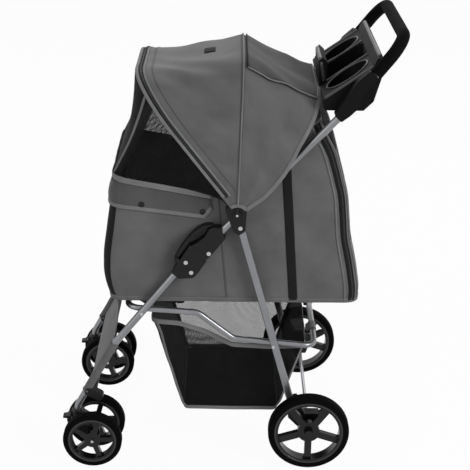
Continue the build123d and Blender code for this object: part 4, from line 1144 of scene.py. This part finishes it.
for label, side in SIDES:
    ring = []
    for k in range(72):
        a = 2 * pi * k / 72
        x = CUP_X + CUP_RIM_R * cos(a)
        ring.append(Vector((x, side * CUP_Y + CUP_RIM_R * sin(a), tray_top(x) + 0.0006)))
    tray_rod(f"cup_rim_{label}", ring, 0.0019, closed=True)
lip_arc = [
    Vector((x, side * POCKET_LIP_Y, z))
    for side, x, z in ((-1, 0.1945, 0.822), (-1, 0.186, 0.866), (1, 0.186, 0.866), (1, 0.1945, 0.822))
]
tray_rod("tray_pocket_lip", spread(rounded(lip_arc, 0.012), 60), 0.0046, sides=14)
for label, side in SIDES:
    tray_rod(f"tray_divider_rim_{label}", slope(0.199, 0.080, side * DIVIDER_Y, 0.0008), 0.0028)
rear_rim = [Vector((0.2945, REAR_RIM_Y * (k / 20 - 1), 0.8985)) for k in range(41)]
tray_rod("tray_rear_rim", rear_rim, 0.0046, sides=12)
for label, side in SIDES:
    tray_rod(f"tray_side_rim_{label}", slope(0.190, 0.090, side * SIDE_RIM_Y, -0.0005), 0.0036, sides=12)

REAR_WHEEL_Y, CASTER_Y, HALF_SPACING = 0.2105, 0.175, 0.0395
BEAD_PROFILE = ((-0.0052, -0.0012), (-0.0045, 0.0004), (-0.0022, 0.0009), (0.0003, 0.0004), (0.0006, -0.0012))
for name in [n for n in NODES if "_rim_" in n]:
    low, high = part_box(name)
    hub = (low + high) / 2
    rear = name.startswith("rear")
    if rear:
        hub.y = copysign(REAR_WHEEL_Y, hub.y)
    else:
        towards = 1 if ("outer" in name) == (hub.y > 0) else -1
        hub.y = copysign(CASTER_Y, hub.y) + towards * HALF_SPACING
    radius, half = (0.075, 0.0123) if rear else (0.053, 0.0103)  # of the bead, and half the rim's width
    body = f"rear_wheel_{name.split('_')[2]}" if rear else "front_wheel_" + name.split("rim_")[1]
    for face, s in (("a", -1), ("b", 1)):
        # each bead is painted lighter than the rim: a painted highlight along the rim's edge
        profile = [(radius + dr, half + dh) for dr, dh in BEAD_PROFILE]
        bead = turned(f"{name}_bead_{face}", hub, ACROSS * s, profile, RIM_BEAD_GLOSS_AND_PAINTED_HIGHLIGHT, sides=64)
        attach(bead, body)


# ---------------- stitches and zip teeth, by Geometry Nodes
def row_tree(name, build_unit, material):
    """Tree that repeats a small unit along a curve: named inputs for its spacing and size."""
    tree = bpy.data.node_groups.new(name, "GeometryNodeTree")
    _, spacing, size, _ = (
        tree.interface.new_socket(label, in_out=way, socket_type="NodeSocket" + kind)
        for label, way, kind in (
            ("Geometry", "INPUT", "Geometry"), ("Spacing", "INPUT", "Float"), ("Unit length", "INPUT", "Float"),
            ("Geometry", "OUTPUT", "Geometry"),
        )
    )
    spacing.default_value, size.default_value = 0.004, 0.0028
    enter = node(tree, "NodeGroupInput")
    line = node(tree, "GeometryNodeMeshToCurve", i0=enter.outputs[0])
    points = node(
        tree, "GeometryNodeCurveToPoints", {"mode": "LENGTH"},
        i0=line.outputs[0], Length=enter.outputs["Spacing"],
    )
    body, high, wide = build_unit(tree)
    scale = node(tree, "ShaderNodeCombineXYZ", i0=high, i1=wide, i2=enter.outputs["Unit length"])
    unit = node(tree, "GeometryNodeTransform", Geometry=body, Scale=scale.outputs[0]).outputs[0]
    copies = node(
        tree, "GeometryNodeInstanceOnPoints",
        Points=points.outputs[0], Instance=unit, Rotation=points.outputs["Rotation"],
    )
    real = node(tree, "GeometryNodeRealizeInstances", i0=copies.outputs[0])
    painted = node(tree, "GeometryNodeSetMaterial", Geometry=real.outputs[0], Material=material)
    smooth = node(tree, "GeometryNodeSetShadeSmooth", Geometry=painted.outputs[0])
    node(tree, "NodeGroupOutput", i0=smooth.outputs[0])
    return tree, {"spacing": spacing.identifier, "size": size.identifier}


def thread_unit(tree):
    """One stitch: a short bead of thread lying along the seam, and its section."""
    ball = node(tree, "GeometryNodeMeshUVSphere", Segments=6, Rings=4, Radius=0.5).outputs[0]
    return ball, 0.0007, 0.0007


def tooth_unit(tree):
    """One zip tooth: a small block across the tape, and its section."""
    return node(tree, "GeometryNodeMeshCube").outputs[0], 0.0012, 0.0046


THREAD = moulded("pale_polyester_thread", "#8c8c8d", "#a0a0a1", 0.7, 0.5, 0.01)
ZIP_NYLON = moulded("black_nylon_zip", "#101011", "#1a1a1b", 0.4, 0.5, 0.02)
STITCHES = row_tree("stitch_row", thread_unit, THREAD) + (0.005, 0.0034)  # then spacing and length
TEETH = row_tree("zip_teeth_row", tooth_unit, ZIP_NYLON) + (0.0028, 0.0016)


def lay_row(name, path, tree, inputs, spacing, size):
    """Plain mesh of a row of units along path."""
    line = bpy.data.meshes.new(name)
    line.from_pydata([tuple(p) for p in path], [(i, i + 1) for i in range(len(path) - 1)], [])
    obj = stand(name, line)
    row = obj.modifiers.new("row", "NODES")
    row.node_group = tree
    row[inputs["spacing"]] = spacing
    row[inputs["size"]] = size
    apply_modifiers(obj)
    return obj


for label, path in teeth_paths:
    fold_flat(lay_row(label + "_teeth", path, *TEETH))
bend_with(lay_row("canopy_zip_teeth", zip_line, *TEETH), "front")
for label, distance in (("a", 0.0022), ("b", 0.0175)):
    path, normals = across_cloth(front_cloth, FRONT_HOOP, MID_HOOP, distance, 4, HOOP_POINTS - 4)
    path = [p + n * 0.0016 for p, n in zip(path, normals)]
    bend_with(lay_row(f"canopy_stitches_{label}", path, *STITCHES), "front")
binding_line = [cabin_point(i, CABIN_FLOOR + 0.0095, 0.0013) for i in range(COLUMNS)]
fold_flat(lay_row("cabin_binding_stitches", binding_line + [binding_line[0]], *STITCHES))
sill_line = [p + plan_normal(i) * 0.0017 + Vector((0, 0, -0.004)) for p, i in zip(sill, front_columns)]
fold_flat(lay_row("sill_stitches", sill_line, *STITCHES))
rim_line = [basket_point(i, BASKET_TOPS[i] - 0.006, 0.0015) for i in range(BASKET_COLUMNS)]
fold_with_rail(lay_row("basket_rim_stitches", rim_line + [rim_line[0]], *STITCHES))


# ---------------- floor, light, camera
def white_to_lens(tree, to_scene, to_lens):
    """Shows to_lens to the lens, to gloss and to glass, and to_scene to everything else."""
    path = node(tree, "ShaderNodeLightPath").outputs
    seen = reckon(tree, "MAXIMUM", path["Is Camera Ray"], path["Is Glossy Ray"])
    seen = reckon(tree, "MAXIMUM", seen, path["Is Transmission Ray"])
    return node(tree, "ShaderNodeMixShader", i0=seen, i1=to_scene, i2=to_lens).outputs[0]


FLOOR_GLOW = 0.96  # share of the floor's look to the lens that is plain white, so its edge doesn't show


def floor_shader(tree):
    matt = node(tree, "ShaderNodeBsdfDiffuse", Color=colour("#f2f2f2")).outputs[0]
    glow = node(tree, "ShaderNodeEmission", Color=colour("#ffffff"), Strength=1.0).outputs[0]
    shown = node(tree, "ShaderNodeMixShader", i0=FLOOR_GLOW, i1=matt, i2=glow).outputs[0]
    return white_to_lens(tree, matt, shown)


FLOOR_PAINT = finish_material("studio_floor_white", floor_shader)
FLOOR_HALF, FLOOR_Z = 60, -0.0004
corners = [Vector((x * FLOOR_HALF, y * FLOOR_HALF, FLOOR_Z)) for x, y in ((-1, -1), (1, -1), (1, 1), (-1, 1))]
floor = piece("studio_floor", corners, [(0, 1, 2, 3)], FLOOR_PAINT, smooth=False)
world = bpy.data.worlds.new("studio")
bpy.context.scene.world = world
world.use_nodes = True
world.node_tree.nodes.clear()
sky = node(world.node_tree, "ShaderNodeBackground", Color=colour("#ffffff"), Strength=0.42).outputs[0]
white = node(world.node_tree, "ShaderNodeBackground", Color=colour("#ffffff"), Strength=1.0).outputs[0]
node(world.node_tree, "ShaderNodeOutputWorld", Surface=white_to_lens(world.node_tree, sky, white))


def softbox(name, place, target, size, power):
    light = bpy.data.lights.new(name, "AREA")
    light.shape = "DISK"
    light.size = size
    light.energy = power
    obj = stand(name, light)
    obj.location = place
    obj.rotation_euler = (Vector(target) - Vector(place)).to_track_quat("-Z", "Y").to_euler()


softbox("key", (2.6, -2.0, 2.0), (0, 0, 0.5), 1.4, 60)
softbox("fill", (-2.4, -2.0, 1.6), (0, 0, 0.5), 1.8, 14)
softbox("rim", (0.2, 2.4, 2.6), (0, 0, 0.6), 1.6, 20)

lens = bpy.data.cameras.new("lens")
lens.sensor_width = 36.0
lens.lens = 92.45
camera = stand("camera", lens)
yaw, pitch, roll = (radians(degrees) for degrees in (-0.41, 22.74, 0.89))
forward = Vector((-sin(yaw) * cos(pitch), cos(yaw) * cos(pitch), -sin(pitch)))
right = Vector((cos(yaw), sin(yaw), 0))
up = right.cross(forward)
right, up = right * cos(roll) + up * sin(roll), up * cos(roll) - right * sin(roll)
turn = Matrix((right, up, -forward)).transposed()
camera.location = (0.0, -2.452, 1.483)
camera.rotation_mode = "QUATERNION"
camera.rotation_quaternion = turn.to_quaternion()
bpy.context.scene.camera = camera
bpy.context.scene.view_settings.view_transform = "Standard"
